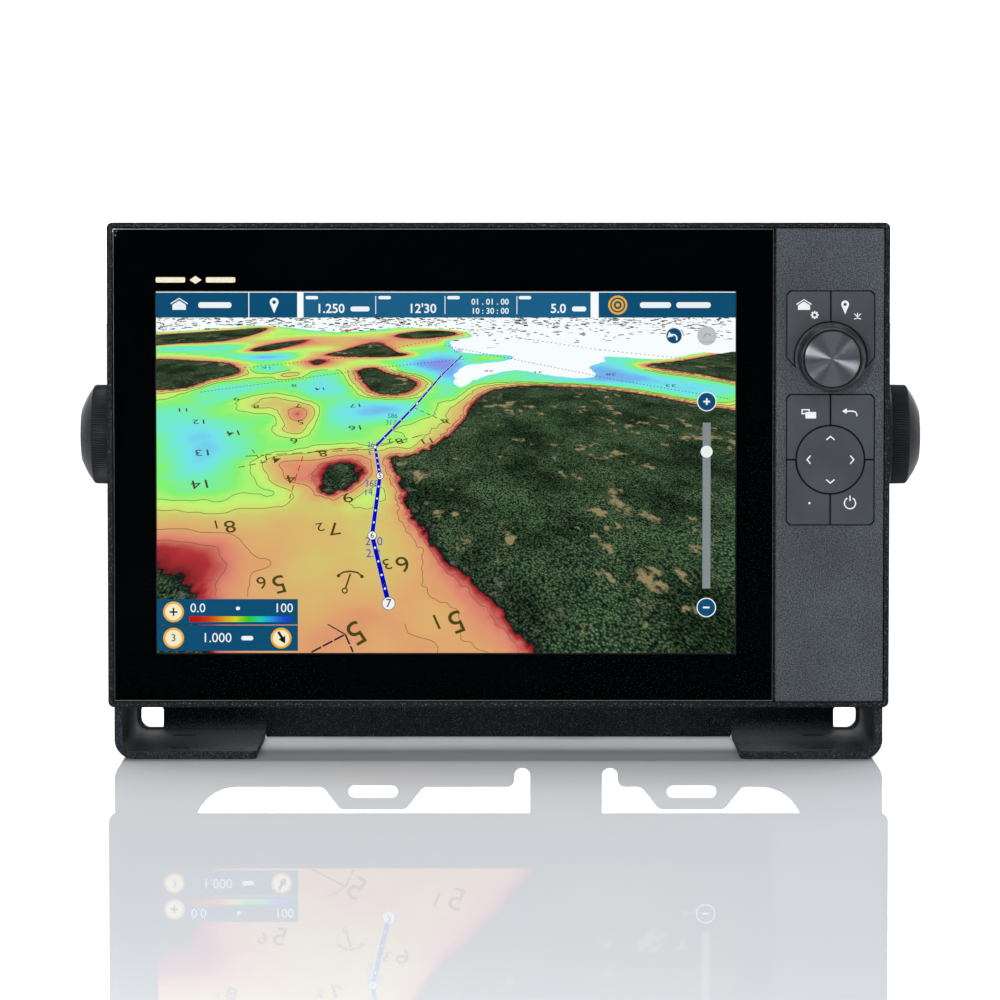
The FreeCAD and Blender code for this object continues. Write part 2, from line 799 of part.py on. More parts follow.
def cover_glass():
    width = glass_right + recess_width / 2 - edge_gap
    x = glass_right - width / 2
    glass_corner, polish = 1.2, 0.45
    slab(
        "cover_glass", width, glass_height, glass_thickness, (x, glass_y, middle_z), glass_corner,
        front_edge=polish,
    )
    film_y = glass_y + glass_thickness
    film_width, film_height = width - 2.0, glass_height - 2.0
    window = rectangle(screen_x - x, -screen_drop, screen_width + 0.6, screen_height + 0.6)
    slab("border_mask", film_width, film_height, mask_thickness, (x, film_y, middle_z), openings=[window])
    tape_y = film_y + mask_thickness
    tape = shelf_y - tape_y
    tape_opening = rectangle(0.0, 0.0, film_width - 10.0, film_height - 20.0)
    tape_at = (x, tape_y, middle_z)
    slab("glass_adhesive", film_width - 1, film_height - 1, tape, tape_at, openings=[tape_opening])
    sensor = 0.4
    slab("touch_sensor", lcd_width - 2, lcd_height + 2, sensor, (screen_x, tape_y, screen_z))
    lcd_y = tape_y + sensor
    lcd_depth, light_depth = 4.1, 6.0
    slab("lcd_panel", lcd_width, lcd_height, lcd_depth, (screen_x, lcd_y, screen_z), 1.5)
    light_y = lcd_y + lcd_depth
    slab("backlight_unit", lcd_width - 2, lcd_height - 2, light_depth, (screen_x, light_y, screen_z), 2.0)
    sensor_z, sensor_depth = 224.0, 0.4
    slab("light_sensor", 3.0, 2.0, sensor_depth, (x, shelf_y - sensor_depth - 0.05, sensor_z))
    return light_y + light_depth


# ---------------------------------------------------------------- keys, cursor pad and rotary knob

key_y = glass_y - key_proud
key_rear = key_y + key_height
stem_radius, stem_length = 2.0, 0.8
key_edge = 0.35


def finish_key(body, stem_x, stem_z):
    """Breaks the front edge and adds the stem that presses the mat."""
    dress(body, "Chamfer", key_edge, flat_edges(body, 0))
    back(body, [(stem_x, stem_z, stem_radius)], stem_length + 0.5, start=key_height - 0.5)


def upper_key(label, side):
    """A key beside the rotary knob: its lower edge is an arc and its tip slants inwards."""
    clear = dial_clear
    near = key_gap / 2
    rise = root(clear * clear - near * near)
    reach = root(clear * clear - tip_drop * tip_drop)
    top = upper_top - dial_z
    outline = [
        (side * near, top),
        (side * (group_half - key_corner), top),
        (side * group_half, top - key_corner),
        (side * group_half, upper_side - dial_z),
        (side * reach, -tip_drop, clear * side),
        (side * near, rise),
    ]
    body = new_body(label)
    back(body, [outline], key_height)
    finish_key(body, side * 12.0, 23.0)
    place(body, key_x, key_y, dial_z)


def lower_key(label, side, top):
    """One corner of the lower group, cut back round the cursor pad."""
    clear = pad_radius + key_gap
    near = key_gap / 2
    reach = root(clear * clear - near * near)
    edge = (lower_top - pad_z) if top > 0 else (pad_z - lower_bottom)
    outline = [
        (side * near, top * edge),
        (side * (group_half - key_corner), top * edge),
        (side * group_half, top * (edge - key_corner)),
        (side * group_half, top * near),
        (side * reach, top * near, clear * side * top),
        (side * near, top * reach),
    ]
    body = new_body(label)
    back(body, [outline], key_height)
    finish_key(body, side * 13.5, top * 22.0)
    place(body, key_x, key_y, pad_z)


def cursor_pad():
    """Round rocker with four nubs behind it, and the cross of two round pins that it rocks on."""
    thickness, nub, nub_length, nub_reach = 3.5, 1.5, 1.3, 10.0
    body = new_body("cursor_pad")
    back(body, [(0.0, 0.0, pad_radius)], thickness)
    dress(body, "Chamfer", key_edge, flat_edges(body, 0))
    nubs = [(nub_reach, 0.0, nub), (-nub_reach, 0.0, nub), (0.0, nub_reach, nub), (0.0, -nub_reach, nub)]
    back(body, nubs, nub_length + 0.5, start=thickness - 0.5)
    place(body, key_x, key_y, pad_z)
    cross_radius, cross_length = 0.9, 7.0
    body = new_body("pad_pivot")
    for plane in ("YZ_Plane", "XY_Plane"):
        extrude(body, plane, [(0.0, 0.0, cross_radius)], cross_length, lift=-cross_length / 2)
    place(body, key_x, key_y + thickness + 0.1 + cross_radius, pad_z)


switch_places = [
    (key_x - 12.0, dial_z + 23.0),
    (key_x + 12.0, dial_z + 23.0),
    (key_x - 13.5, pad_z + 22.0),
    (key_x + 13.5, pad_z + 22.0),
    (key_x - 13.5, pad_z - 22.0),
    (key_x + 13.5, pad_z - 22.0),
    (key_x - 10.0, pad_z),
    (key_x + 10.0, pad_z),
    (key_x, pad_z + 10.0),
    (key_x, pad_z - 10.0),
]
board_y = -44.5
board_thickness = 1.6


def keypad():
    """Silicone mat, key board and switches behind the control panel."""
    x, z, width, height = 149.0, 160.0, 32.6, 116.0
    switch, switch_height, web, boss = 4.5, 1.6, 0.8, 2.2
    mat_y = board_y - switch_height - 0.1 - web
    body = new_body("keypad_mat")
    back(body, [rectangle(0.0, 0.0, width, height)], web)
    dial_hole = rectangle(key_x - x, dial_z - z, 15.0, 15.0)
    carve(body, [dial_hole])
    bosses = [(sx - x, sz - z, boss) for sx, sz in switch_places]
    extrude(body, "XZ_Plane", bosses, 0.9)
    place(body, x, mat_y, z)
    slab("keypad_board", width, height, board_thickness, (x, board_y, z), 2.0)
    switches = [
        brick(sx - switch / 2, board_y - switch_height, sz - switch / 2, switch, switch_height, switch)
        for sx, sz in switch_places
    ]
    group("key_switches", switches)


def rotary_encoder():
    """Encoder on the key board, with its knob: the shaft turns, and pushes the plunger behind it."""
    at = (key_x, 0.0, dial_z)
    running = 0.05
    housing_front, bush_front, plunge_end = -48.2, -52.6, -44.9
    bore, bush, half = shaft_radius + running, 4.2, 7.0
    body = new_body("encoder_housing")
    back(body, [rectangle(0.0, 0.0, half * 2, half * 2)], board_y - housing_front)
    extrude(body, "XZ_Plane", [(0.0, 0.0, bush)], housing_front - bush_front)
    bore_length = plunge_end - bush_front
    extrude(body, "XZ_Plane", [(0.0, 0.0, bore)], bore_length, lift=housing_front - bush_front, cut=True)
    place(body, key_x, housing_front, dial_z)

    shaft_rear, shaft_front, plunger_rear = -46.7, -63.0, -45.6
    turned(
        "encoder_plunger",
        "Y",
        [(shaft_rear + 0.1, 0.0), (plunger_rear, 0.0), (plunger_rear, 2.6), (shaft_rear + 0.1, 2.6)],
        at,
    )
    turned(
        "encoder_shaft",
        "Y",
        [
            (shaft_front, 0.0),
            (shaft_rear, 0.0),
            (shaft_rear, shaft_radius),
            (shaft_front + 0.6, shaft_radius),
            (shaft_front, shaft_radius - 0.6),
        ],
        at,
    )
    skirt_rear, hollow_front = -54.4, -58.5
    face = front_y - dial_rise
    cap_seat = face + 1.1
    hub, hollow = 5.5, 12.5
    bevel_start = face + 3.4
    turned(
        "rotary_knob",
        "Y",
        [
            (skirt_rear, bore),
            (shaft_front - 0.1, bore),
            (shaft_front - 0.1, 0.0),
            (cap_seat, 0.0),
            (cap_seat, cap_radius + 0.05),
            (face, cap_radius + 0.05),
            (face, cap_radius + 0.5),
            (bevel_start, dial_radius),
            (skirt_rear, dial_radius),
            (skirt_rear, hollow),
            (hollow_front, hollow),
            (hollow_front, hub),
            (skirt_rear, hub),
        ],
        at,
    )
    turned(
        "knob_cap",
        "Y",
        [
            (face + 0.1, 0.0),
            (cap_seat, 0.0),
            (cap_seat, cap_radius),
            (face + 0.3, cap_radius),
            (face + 0.1, cap_radius - 0.2),
        ],
        at,
    )


# ---------------------------------------------------------------- inside the case

standoff_places = [(x, z) for x in (-130.0, -20.0, 80.0) for z in (85.0, 185.0)]


def electronics(carrier_y):
    """Carrier plate, main board on standoffs, heat spreader, buzzer and position antenna."""
    carrier, carrier_z = 1.5, 133.0
    slab("inner_frame", 316.0, 176.0, carrier, (0.0, carrier_y, carrier_z), 4.0)
    post_y = carrier_y + carrier
    post_length, post_radius, screw_radius = 11.5, 3.0, 1.5
    main_y = post_y + post_length
    posts = []
    for x, z in standoff_places:
        tube = doc.addObject("Part::Cut", "standoff")
        tube.Base = disc(post_radius, post_y, main_y, x, z)
        tube.Tool = disc(screw_radius + 0.05, post_y - 1, main_y + 1, x, z)
        posts.append(tube)
    group("standoffs", posts)

    board_x, board_z, board = -20.0, 135.0, 1.6
    body = slab("main_board", 240.0, 120.0, board, (board_x, main_y, board_z), 3.0)
    carve(body, [(x - board_x, z - board_z, screw_radius + 0.2) for x, z in standoff_places])
    processor_z = 22.0
    chips = [
        (0.0, processor_z, 34.0, 34.0),
        (-48.0, 40.0, 20.0, 26.0),
        (48.0, 40.0, 20.0, 26.0),
        (-70.0, -25.0, 30.0, 18.0),
        (60.0, -20.0, 26.0, 30.0),
        (-10.0, -30.0, 44.0, 12.0),
    ]
    chip_height = 2.4
    back(body, [rectangle(*chip) for chip in chips], chip_height + 0.5, start=board - 0.5)
    board_rear = main_y + board
    rear_screws("board_screws", standoff_places, board_rear, 2.8, 2.0, screw_radius, 7.0)

    spreader_y = board_rear + chip_height
    case_inside = case_rear - wall
    spreader_z = board_z + processor_z
    spreader = case_inside - spreader_y
    slab("heat_spreader", 60.0, 46.0, spreader, (board_x, spreader_y, spreader_z), 2.0)
    buzzer_x, buzzer_z, buzzer_radius, buzzer_height = 75.0, 100.0, 6.0, 5.0
    turned(
        "buzzer",
        "Y",
        [
            (board_rear, 0.0),
            (board_rear + buzzer_height, 0.0),
            (board_rear + buzzer_height, buzzer_radius),
            (board_rear, buzzer_radius),
        ],
        (buzzer_x, 0.0, buzzer_z),
    )
    slab("gps_antenna", 25.0, 18.0, 4.5, (128.0, post_y, 205.0), 1.0)


# ---------------------------------------------------------------- case and its rear fittings

plate_x, plate_z, plate_width, plate_height, plate_depth = -2.0, 85.0, 240.0, 70.0, 2.5
plate_screw_places = [(plate_x + x, plate_z + z) for x in (-114.0, 0.0, 114.0) for z in (-29.5, 29.5)]
card_x, card_z, card_width, card_height = 146.0, 85.0, 20.0, 37.0
hinge_x, hinge_y, lug_radius, pin_radius = 130.0, 12.6, 2.2, 1.0
barrel_low, barrel_high, lug_low, lug_high = 66.0, 104.0, 62.0, 108.0
vent_place = (-146.0, 100.0)
ground_place = (-146.0, 66.0)
ground_radius = 2.0
vent_stem = 3.0


def case():
    """Cast rear case: lip, box, cooling fins, bosses for the clamps and posts for the carrier plate."""
    body = new_body("chassis")
    height = case_top - case_bottom
    rise = (case_top + case_bottom) / 2 - middle_z
    depth = case_rear - lip_front
    back(body, [rectangle(0.0, rise, case_x * 2, height)], depth)
    outer, rear_break = 7.0, 5.0
    spots = [(sx * case_x, rise + sz * height / 2) for sx in (-1, 1) for sz in (-1, 1)]
    dress(body, "Fillet", outer, straight_edges(body, "Y", spots))
    dress(body, "Chamfer", rear_break, flat_edges(body, depth))
    back(body, [rounded_outline(0.0, 0.0, lip_width / 2, lip_height / 2, 2.0)], lip_thickness)

    # The hollow: a shallow seat for the carrier plate, then a deeper room that leaves four posts and,
    # at each side, the pillar that holds the clamp's threaded insert.
    inside_x, half_high = case_x - wall, height / 2 - wall
    low, high = rise - half_high, rise + half_high
    carrier_back, pillar_x, pillar_half = 7.5, 149.0, 10.0
    pillar_z = pivot_z - middle_z
    carve(body, [rectangle(0.0, rise, inside_x * 2, half_high * 2)], carrier_back)
    room = [
        (-inside_x, low),
        (inside_x, low),
        (inside_x, pillar_z - pillar_half),
        (pillar_x, pillar_z - pillar_half),
        (pillar_x, pillar_z + pillar_half),
        (inside_x, pillar_z + pillar_half),
        (inside_x, high),
        (-inside_x, high),
        (-inside_x, pillar_z + pillar_half),
        (-pillar_x, pillar_z + pillar_half),
        (-pillar_x, pillar_z - pillar_half),
        (-inside_x, pillar_z - pillar_half),
    ]
    posts = [(x, z - middle_z, 4.0) for x in (-152.0, 152.0) for z in (52.0, 214.0)]
    carve(body, [room] + posts, depth - wall - carrier_back, start=carrier_back)
    insert_radius, insert_start = 6.55, 150.9
    bore = (pivot_y - lip_front, pillar_z, insert_radius)
    for side in (-1, 1):
        bore_length = case_x + 1 - insert_start
        extrude(body, "YZ_Plane", [bore], bore_length, lift=side * (case_x + 1), reverse=side < 0, cut=True)

    fin_count, fin_width, fin_low, fin_high = 27, 2.2, 134.0, 216.0
    first_fin = -fin_pitch * (fin_count - 1) / 2
    fin_middle = (fin_low + fin_high) / 2 - middle_z
    fin_outline = rectangle(first_fin, fin_middle, fin_width, fin_high - fin_low)
    fin = back(body, [fin_outline], fin_depth + 0.5, start=depth - 0.5)
    row = body.newObject("PartDesign::LinearPattern", "fin_row")
    row.Originals = [fin]
    row.Direction = (fin.Profile[0], ["H_Axis"])
    row.Occurrences = fin_count
    row.setExpression("Length", (fin_pitch * (fin_count - 1)).text)
    body.Tip = row
    doc.recompute()

    rear = depth - wall - 1
    openings = [
        rectangle(plate_x, plate_z - middle_z, plate_width - 20.0, plate_height - 20.0),
        rectangle(card_x, card_z - middle_z, card_width, card_height),
        (vent_place[0], vent_place[1] - middle_z, vent_stem + 0.1),
        (ground_place[0], ground_place[1] - middle_z, ground_radius + 0.05),
    ]
    openings += [(x, z - middle_z, 1.55) for x, z in plate_screw_places]
    carve(body, openings, None, start=rear)
    clearance = 1.7
    carve(body, [(x, z - middle_z, clearance) for x, z in frame_screw_places], lip_thickness + 1)

    lug_y = hinge_y - lip_front
    for low, high in ((lug_low, barrel_low - 0.3), (barrel_high + 0.3, lug_high)):
        foot = rectangle(hinge_x, (depth + lug_y) / 2 - 0.25, lug_radius * 2, lug_y - depth + 0.5)
        extrude(body, "XY_Plane", [foot], high - low, lift=low - middle_z)
        extrude(body, "XY_Plane", [(hinge_x, lug_y, lug_radius)], high - low, lift=low - middle_z)
    pin_bore = (hinge_x, lug_y, pin_radius + 0.05)
    extrude(body, "XY_Plane", [pin_bore], lug_high - lug_low + 2, lift=lug_high - middle_z + 1, cut=True)
    place(body, 0.0, lip_front, middle_z)

    seal_width, seal_height, seal_band = recess_width - 2.6, recess_height - 2.6, 4.0
    hole = rectangle(0.0, 0.0, seal_width - seal_band * 2, seal_height - seal_band * 2)
    slab(
        "frame_seal", seal_width, seal_height, seal_thickness,
        (0.0, lip_front - seal_thickness, middle_z), 2.0, openings=[hole],
    )
    rear_screws("frame_screws", frame_screw_places, lip_front + lip_thickness, 2.8, 1.8, 1.5, 5.4)


def connector_plate():
    """Cover plate with the six sockets, all in one row."""
    sockets = [
        ("power_connector", -98.0, 9.0, 14.0, 3.0),
        ("nmea_connector", -62.0, 6.0, 11.0, 2.0),
        ("network_connector", -26.0, 10.5, 15.0, 2.5),
        ("transducer_connector", 14.0, 9.5, 14.0, 3.0),
    ]
    ports = [("video_connector", 52.0, 26.0, 14.0), ("usb_connector", 88.0, 20.0, 12.0)]
    row_z = plate_z
    neck = 1.2
    body = slab(
        "connector_plate", plate_width, plate_height, plate_depth, (plate_x, case_rear, plate_z), 5.0,
        openings=[(x - plate_x, z - plate_z, 1.7) for x, z in plate_screw_places],
    )
    openings = [(x - plate_x, row_z - plate_z, radius - neck + 0.05) for _, x, radius, _, _ in sockets]
    openings += [rectangle(x - plate_x, row_z - plate_z, w - 4.0, h - 4.0) for _, x, w, h in ports]
    carve(body, openings)
    outside = case_rear + plate_depth
    inside = case_rear - wall - 12.0
    for label, x, radius, length, recess_depth in sockets:
        flange = 2.5
        turned(
            label,
            "Y",
            [
                (inside, 0.0),
                (outside + length - recess_depth, 0.0),
                (outside + length - recess_depth, radius - 2.4),
                (outside + length, radius - 1.6),
                (outside + length, radius - 0.6),
                (outside + length - 0.6, radius),
                (outside + flange, radius),
                (outside + flange, radius + 2.0),
                (outside, radius + 2.0),
                (outside, radius - neck),
                (inside, radius - neck),
            ],
            (x, 0.0, row_z),
        )
    for label, x, width, height in ports:
        body = new_body(label)
        block_length = outside - inside
        back(body, [rectangle(0.0, 0.0, width - 4.2, height - 4.2)], block_length + 0.5)
        lid = [rounded_outline(0.0, 0.0, width / 2, height / 2, 3.0)]
        back(body, lid, 4.0, start=block_length)
        place(body, x, inside, row_z)
    rear_screws("plate_screws", plate_screw_places, outside, 2.8, 2.0, 1.5, 5.0)


def card_bay():
    """Twin card reader, seal, and a small door on a vertical pin."""
    reader_front, reader_rear, gap = -12.0, 9.0, 0.3
    body = new_body("card_reader")
    reader_depth = reader_rear - reader_front
    back(body, [rectangle(0.0, 0.0, card_width - gap * 2, card_height - gap * 2)], reader_depth)
    slot_wide, slot_high, slot_deep = 12.5, 1.6, 12.0
    slots = [rectangle(0.0, z, slot_wide, slot_high) for z in (-8.0, 8.0)]
    carve(body, slots, None, start=reader_depth - slot_deep)
    place(body, card_x, reader_front, card_z)

    seal = 1.0
    hole = rectangle(0.0, 0.0, card_width + 1.5, card_height + 2.0)
    slab("card_door_seal", 25.0, 44.0, seal, (card_x, case_rear, card_z), 3.0, openings=[hole])

    door_front = case_rear + seal + 0.1
    door_thickness, door_left, door_right, door_low, door_high = 2.5, 132.5, 161.0, 61.0, 109.0
    body = new_body("card_door")
    door_mid = (door_left + door_right) / 2 - hinge_x
    height = door_high - door_low
    back(
        body,
        [rectangle(door_mid, 0.0, door_right - door_left, height)],
        door_thickness,
        start=door_front - hinge_y + 5,
    )
    barrel_height = barrel_high - barrel_low
    tab_width = door_left - hinge_x + 1
    back(
        body,
        [rectangle(tab_width / 2, 0.0, tab_width, barrel_height)],
        door_thickness,
        start=door_front - hinge_y + 5,
    )
    barrel = 2.0
    extrude(body, "XY_Plane", [(0.0, 5.0, barrel)], barrel_height, lift=-barrel_height / 2)
    finger_rib = rectangle(door_right - hinge_x - 3.0, 0.0, 2.0, 18.0)
    back(body, [finger_rib], 1.5, start=door_front - hinge_y + 5 + door_thickness - 0.5)
    pin_hole = (0.0, 5.0, pin_radius + 0.05)
    extrude(body, "XY_Plane", [pin_hole], None, lift=barrel_height / 2 + 1, cut=True)
    outer_corner = 3.0
    spots = [(door_right - hinge_x, sz * height / 2) for sz in (-1, 1)]
    dress(body, "Fillet", outer_corner, straight_edges(body, "Y", spots))
    place(body, hinge_x, hinge_y - 5, card_z)

    pin = doc.addObject("Part::Cylinder", "card_door_pin")
    pin.Label = "card_door_pin"
    pin.Radius = pin_radius
    pin.Height = lug_high - lug_low
    place(pin, hinge_x, hinge_y, lug_low)
    pieces.append(pin)


def vent_and_ground():
    """Breather vent and earthing screw on the rear face."""
    stem_inside = case_rear - wall
    turned(
        "breather_vent",
        "Y",
        [
            (stem_inside, 0.0),
            (case_rear + 3.0, 0.0),
            (case_rear + 3.0, 5.4),
            (case_rear + 2.4, 6.0),
            (case_rear, 6.0),
            (case_rear, vent_stem),
            (stem_inside, vent_stem),
        ],
        (vent_place[0], 0.0, vent_place[1]),
    )
    turned(
        "ground_screw",
        "Y",
        [
            (case_rear - 6.0, 0.0),
            (case_rear + 3.6, 0.0),
            (case_rear + 3.6, 3.2),
            (case_rear + 2.8, 4.0),
            (case_rear + 0.8, 4.0),
            (case_rear + 0.8, 5.0),
            (case_rear, 5.0),
            (case_rear, ground_radius),
            (case_rear - 6.0, ground_radius),
        ],
        (ground_place[0], 0.0, ground_place[1]),
    )


# ---------------------------------------------------------------- build, check and write


def build():
    mounting_bracket()
    side_clamp("left", -1)
    side_clamp("right", 1)
    front_frame()
    control_panel()
    carrier_y = cover_glass()
    upper_key("home_key", -1)
    upper_key("waypoint_key", 1)
    lower_key("window_key", -1, 1)
    lower_key("back_key", 1, 1)
    lower_key("function_key", -1, -1)
    lower_key("power_key", 1, -1)
    cursor_pad()
    keypad()
    rotary_encoder()
    electronics(carrier_y)
    case()
    connector_plate()
    card_bay()
    vent_and_ground()


def write_out():
    doc.recompute()
    for thing in doc.Objects:
        if "Invalid" in thing.State or "Error" in thing.State:
            raise RuntimeError(f"{thing.Label} did not compute: {thing.State}")
    os.makedirs("parts", exist_ok=True)
    for piece in pieces:
        shape = piece.Shape
        if shape.isNull() or not shape.isValid() or not shape.Solids:
            raise RuntimeError(f"{piece.Label} has no valid solid")
        shape.exportStep(f"parts/{piece.Label}.step")
    print(len(pieces), "pieces written")


build()
write_out()
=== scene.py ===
import json
import math
import random

import bmesh
import bpy
import numpy as np
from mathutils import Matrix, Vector


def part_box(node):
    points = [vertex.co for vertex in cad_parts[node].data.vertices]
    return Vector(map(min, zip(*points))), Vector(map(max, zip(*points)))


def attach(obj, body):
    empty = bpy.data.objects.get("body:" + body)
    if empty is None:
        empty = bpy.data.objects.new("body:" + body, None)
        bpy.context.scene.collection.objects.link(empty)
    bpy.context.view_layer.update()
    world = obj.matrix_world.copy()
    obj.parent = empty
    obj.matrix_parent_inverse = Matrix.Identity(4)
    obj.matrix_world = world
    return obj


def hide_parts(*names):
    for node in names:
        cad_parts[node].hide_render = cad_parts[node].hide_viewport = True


# Looks of a chartplotter display on its bracket. Lengths in this file are in millimetres unless a name
# ends in _m; the helpers turn them into metres. +X is right, +Y is away from the screen, +Z is up.

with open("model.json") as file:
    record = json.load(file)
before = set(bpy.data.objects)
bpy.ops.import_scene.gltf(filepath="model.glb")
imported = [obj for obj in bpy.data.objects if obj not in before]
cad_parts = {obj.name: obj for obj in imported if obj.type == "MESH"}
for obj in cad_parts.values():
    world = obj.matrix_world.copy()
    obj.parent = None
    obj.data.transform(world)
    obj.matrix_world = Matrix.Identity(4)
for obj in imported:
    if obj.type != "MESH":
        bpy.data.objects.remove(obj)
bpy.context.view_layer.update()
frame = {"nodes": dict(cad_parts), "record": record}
MM = 0.001
WHITE = (255, 255, 255)


def edges_of(node):
    """Lowest and highest corner of a CAD node, in millimetres."""
    low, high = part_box(node)
    return low / MM, high / MM


def middle_of(node):
    low, high = edges_of(node)
    return (low + high) / 2


# ---------------------------------------------------------------- materials


class Shader:
    """A node material with one Principled surface, built up by name."""

    def __init__(self, name):
        self.material = bpy.data.materials.new(name)
        self.material.use_nodes = True
        self.tree = self.material.node_tree
        self.surface = self.tree.nodes["Principled BSDF"]

    def wire(self, node, inputs):
        """Fills a node's inputs: each gets an output to follow, or a plain value."""
        for key, value in inputs.items():
            if isinstance(value, bpy.types.NodeSocket):
                self.tree.links.new(value, node.inputs[key])
            else:
                node.inputs[key].default_value = value
        return node

    def node(self, kind, inputs, **settings):
        made = self.tree.nodes.new("ShaderNode" + kind)
        for key, value in settings.items():
            setattr(made, key, value)
        return self.wire(made, inputs)

    def set(self, **values):
        """Fills the surface's own inputs."""
        self.wire(self.surface, {key.replace("_", " "): value for key, value in values.items()})

    def cover(self, kind, inputs):
        """Puts another shader in the surface's place, and gives the finished material."""
        self.tree.nodes.remove(self.surface)
        self.wire(self.tree.nodes["Material Output"], {"Surface": self.node(kind, inputs).outputs[0]})
        return self.material

    def place(self):
        return self.node("TexCoord", {}).outputs["Object"]

    def noise(self, place, size_m, detail=2.0, roughness=0.5):
        """Noise whose grains are about size_m across."""
        inputs = {"Vector": place, "Scale": 1.0 / size_m, "Detail": detail, "Roughness": roughness}
        return self.node("TexNoise", inputs).outputs["Fac"]

    def ramp(self, factor, stops):
        made = self.node("ValToRGB", {"Fac": factor})
        points = made.color_ramp.elements
        while len(points) < len(stops):
            points.new(0.5)
        for point, (position, colour) in zip(points, stops):
            point.position = position
            point.color = paint(colour)
        return made.outputs["Color"]

    def mottle(self, factor, colour, share, blur=0.2):
        """The colour, and only a share of it where the factor is low."""
        return self.ramp(factor, [(0.5 - blur, tuple(c * share for c in colour)), (0.5 + blur, colour)])

    def mix(self, factor, first, second, blend="MIX"):
        first, second = (paint(c) if isinstance(c, tuple) else c for c in (first, second))
        inputs = {0: factor, 6: first, 7: second}
        return self.node("Mix", inputs, data_type="RGBA", blend_type=blend).outputs[2]

    def math(self, operation, first, second=0.0):
        return self.node("Math", {0: first, 1: second}, operation=operation).outputs[0]

    def spread(self, value, low, high, end="To"):
        """Stretches 0 to 1 over low to high, or with end="From", low to high over 0 to 1."""
        inputs = {"Value": value, end + " Min": low, end + " Max": high}
        return self.node("MapRange", inputs).outputs["Result"]

    def step(self, value, edge, blur):
        """0 below the edge and 1 above it, with a soft change between."""
        return self.spread(value, edge - blur, edge + blur, "From")

    def relief(self, height, depth_m, strength):
        """Bumps the surface, and gives the finished material."""
        inputs = {"Strength": strength, "Distance": depth_m, "Height": height}
        self.set(Normal=self.node("Bump", inputs).outputs["Normal"])
        return self.material


def linear(value):
    value /= 255.0
    return value / 12.92 if value <= 0.04045 else ((value + 0.055) / 1.055) ** 2.4


def paint(colour):
    """An RGBA value from red, green and blue between 0 and 255, as a screen shows them."""
    return tuple(linear(c) for c in colour) + (1.0,)


def grained(name, dark, light, grain, rough, depth=0.02, specular=0.5, fleck=None, span=0.36):
    """Moulded or coated surface: fine grain in colour, roughness and relief, and sometimes flecks."""
    s = Shader(name)
    place = s.place()
    fine = s.noise(place, grain * MM, 3.0, 0.6)
    broad = s.noise(place, grain * 60 * MM)
    shade = s.ramp(broad, [(0.3, (225, 225, 225)), (0.7, WHITE)])
    colour = s.mix(1.0, s.ramp(fine, [(0.5 - span / 2, dark), (0.5 + span / 2, light)]), shade, "MULTIPLY")
    if fleck:
        colour = s.mix(s.step(s.noise(place, grain * 0.8 * MM, 1.0), 0.66, 0.03), colour, fleck)
    s.set(Base_Color=colour, Roughness=s.spread(fine, rough - 0.08, rough + 0.1), Specular_IOR_Level=specular)
    return s.relief(fine, depth * MM, 0.6)


def metal(name, colour, rough, grain=0.25, depth=0.004, stretch=(1, 1, 1)):
    """Bare or plated metal with fine marks, drawn out along one direction when stretched."""
    s = Shader(name)
    mapping = s.node("Mapping", {"Vector": s.place(), "Scale": stretch})
    marks = s.noise(mapping.outputs["Vector"], grain * MM, 4.0, 0.6)
    roughness = s.spread(marks, rough - 0.06, rough + 0.1)
    s.set(Base_Color=s.mottle(marks, colour, 0.82), Roughness=roughness, Metallic=1.0)
    return s.relief(marks, depth * MM, 0.5)


def spun_metal():
    """Metal turned in circles: rings of fine grooves that smear lights into fans."""
    s = Shader("spun_aluminium")
    shift = s.node("VectorMath", {0: s.place(), 1: middle_of("knob_cap") * MM}, operation="SUBTRACT")
    flat = s.node("VectorMath", {0: shift.outputs[0], 1: (1, 0, 1)}, operation="MULTIPLY")
    radius = s.node("VectorMath", {0: flat.outputs[0]}, operation="LENGTH").outputs["Value"]
    inputs = {"W": radius, "Scale": 1.0 / (0.16 * MM), "Detail": 3.0}
    rings = s.node("TexNoise", inputs, noise_dimensions="1D").outputs["Fac"]
    colour = s.ramp(rings, [(0.3, (100, 104, 110)), (0.7, (124, 128, 134))])
    tangent = s.node("Tangent", {}, direction_type="RADIAL", axis="Y").outputs[0]
    s.set(Base_Color=colour, Tangent=tangent, Metallic=1.0, Roughness=0.31)
    s.set(Anisotropic=1.0, Anisotropic_Rotation=0.25)
    return s.relief(rings, 0.002 * MM, 0.3)


def lacquer(name, colour, rough, coat):
    """Polished moulding with a very faint orange-peel ripple."""
    s = Shader(name)
    ripple = s.noise(s.place(), 1.4 * MM)
    s.set(Base_Color=s.mottle(ripple, colour, 0.88), Roughness=rough, Coat_Weight=coat, Coat_Roughness=0.03)
    return s.relief(ripple, 0.006 * MM, 0.4)


def coated_glass(name, bending, tint):
    """Clear sheet with an anti-reflection coating: seen square on it mirrors almost nothing."""
    s = Shader(name)
    clear = s.node("BsdfTransparent", {"Color": paint(tint)})
    streaks = s.ramp(s.noise(s.place(), 40 * MM), [(0.3, (225, 232, 240)), (0.7, WHITE)])
    mirror = s.node("BsdfGlossy", {"Roughness": 0.02, "Color": streaks})
    coating = s.node("Fresnel", {"IOR": bending})
    return s.cover("MixShader", {0: coating.outputs["Fac"], 1: clear.outputs[0], 2: mirror.outputs[0]})


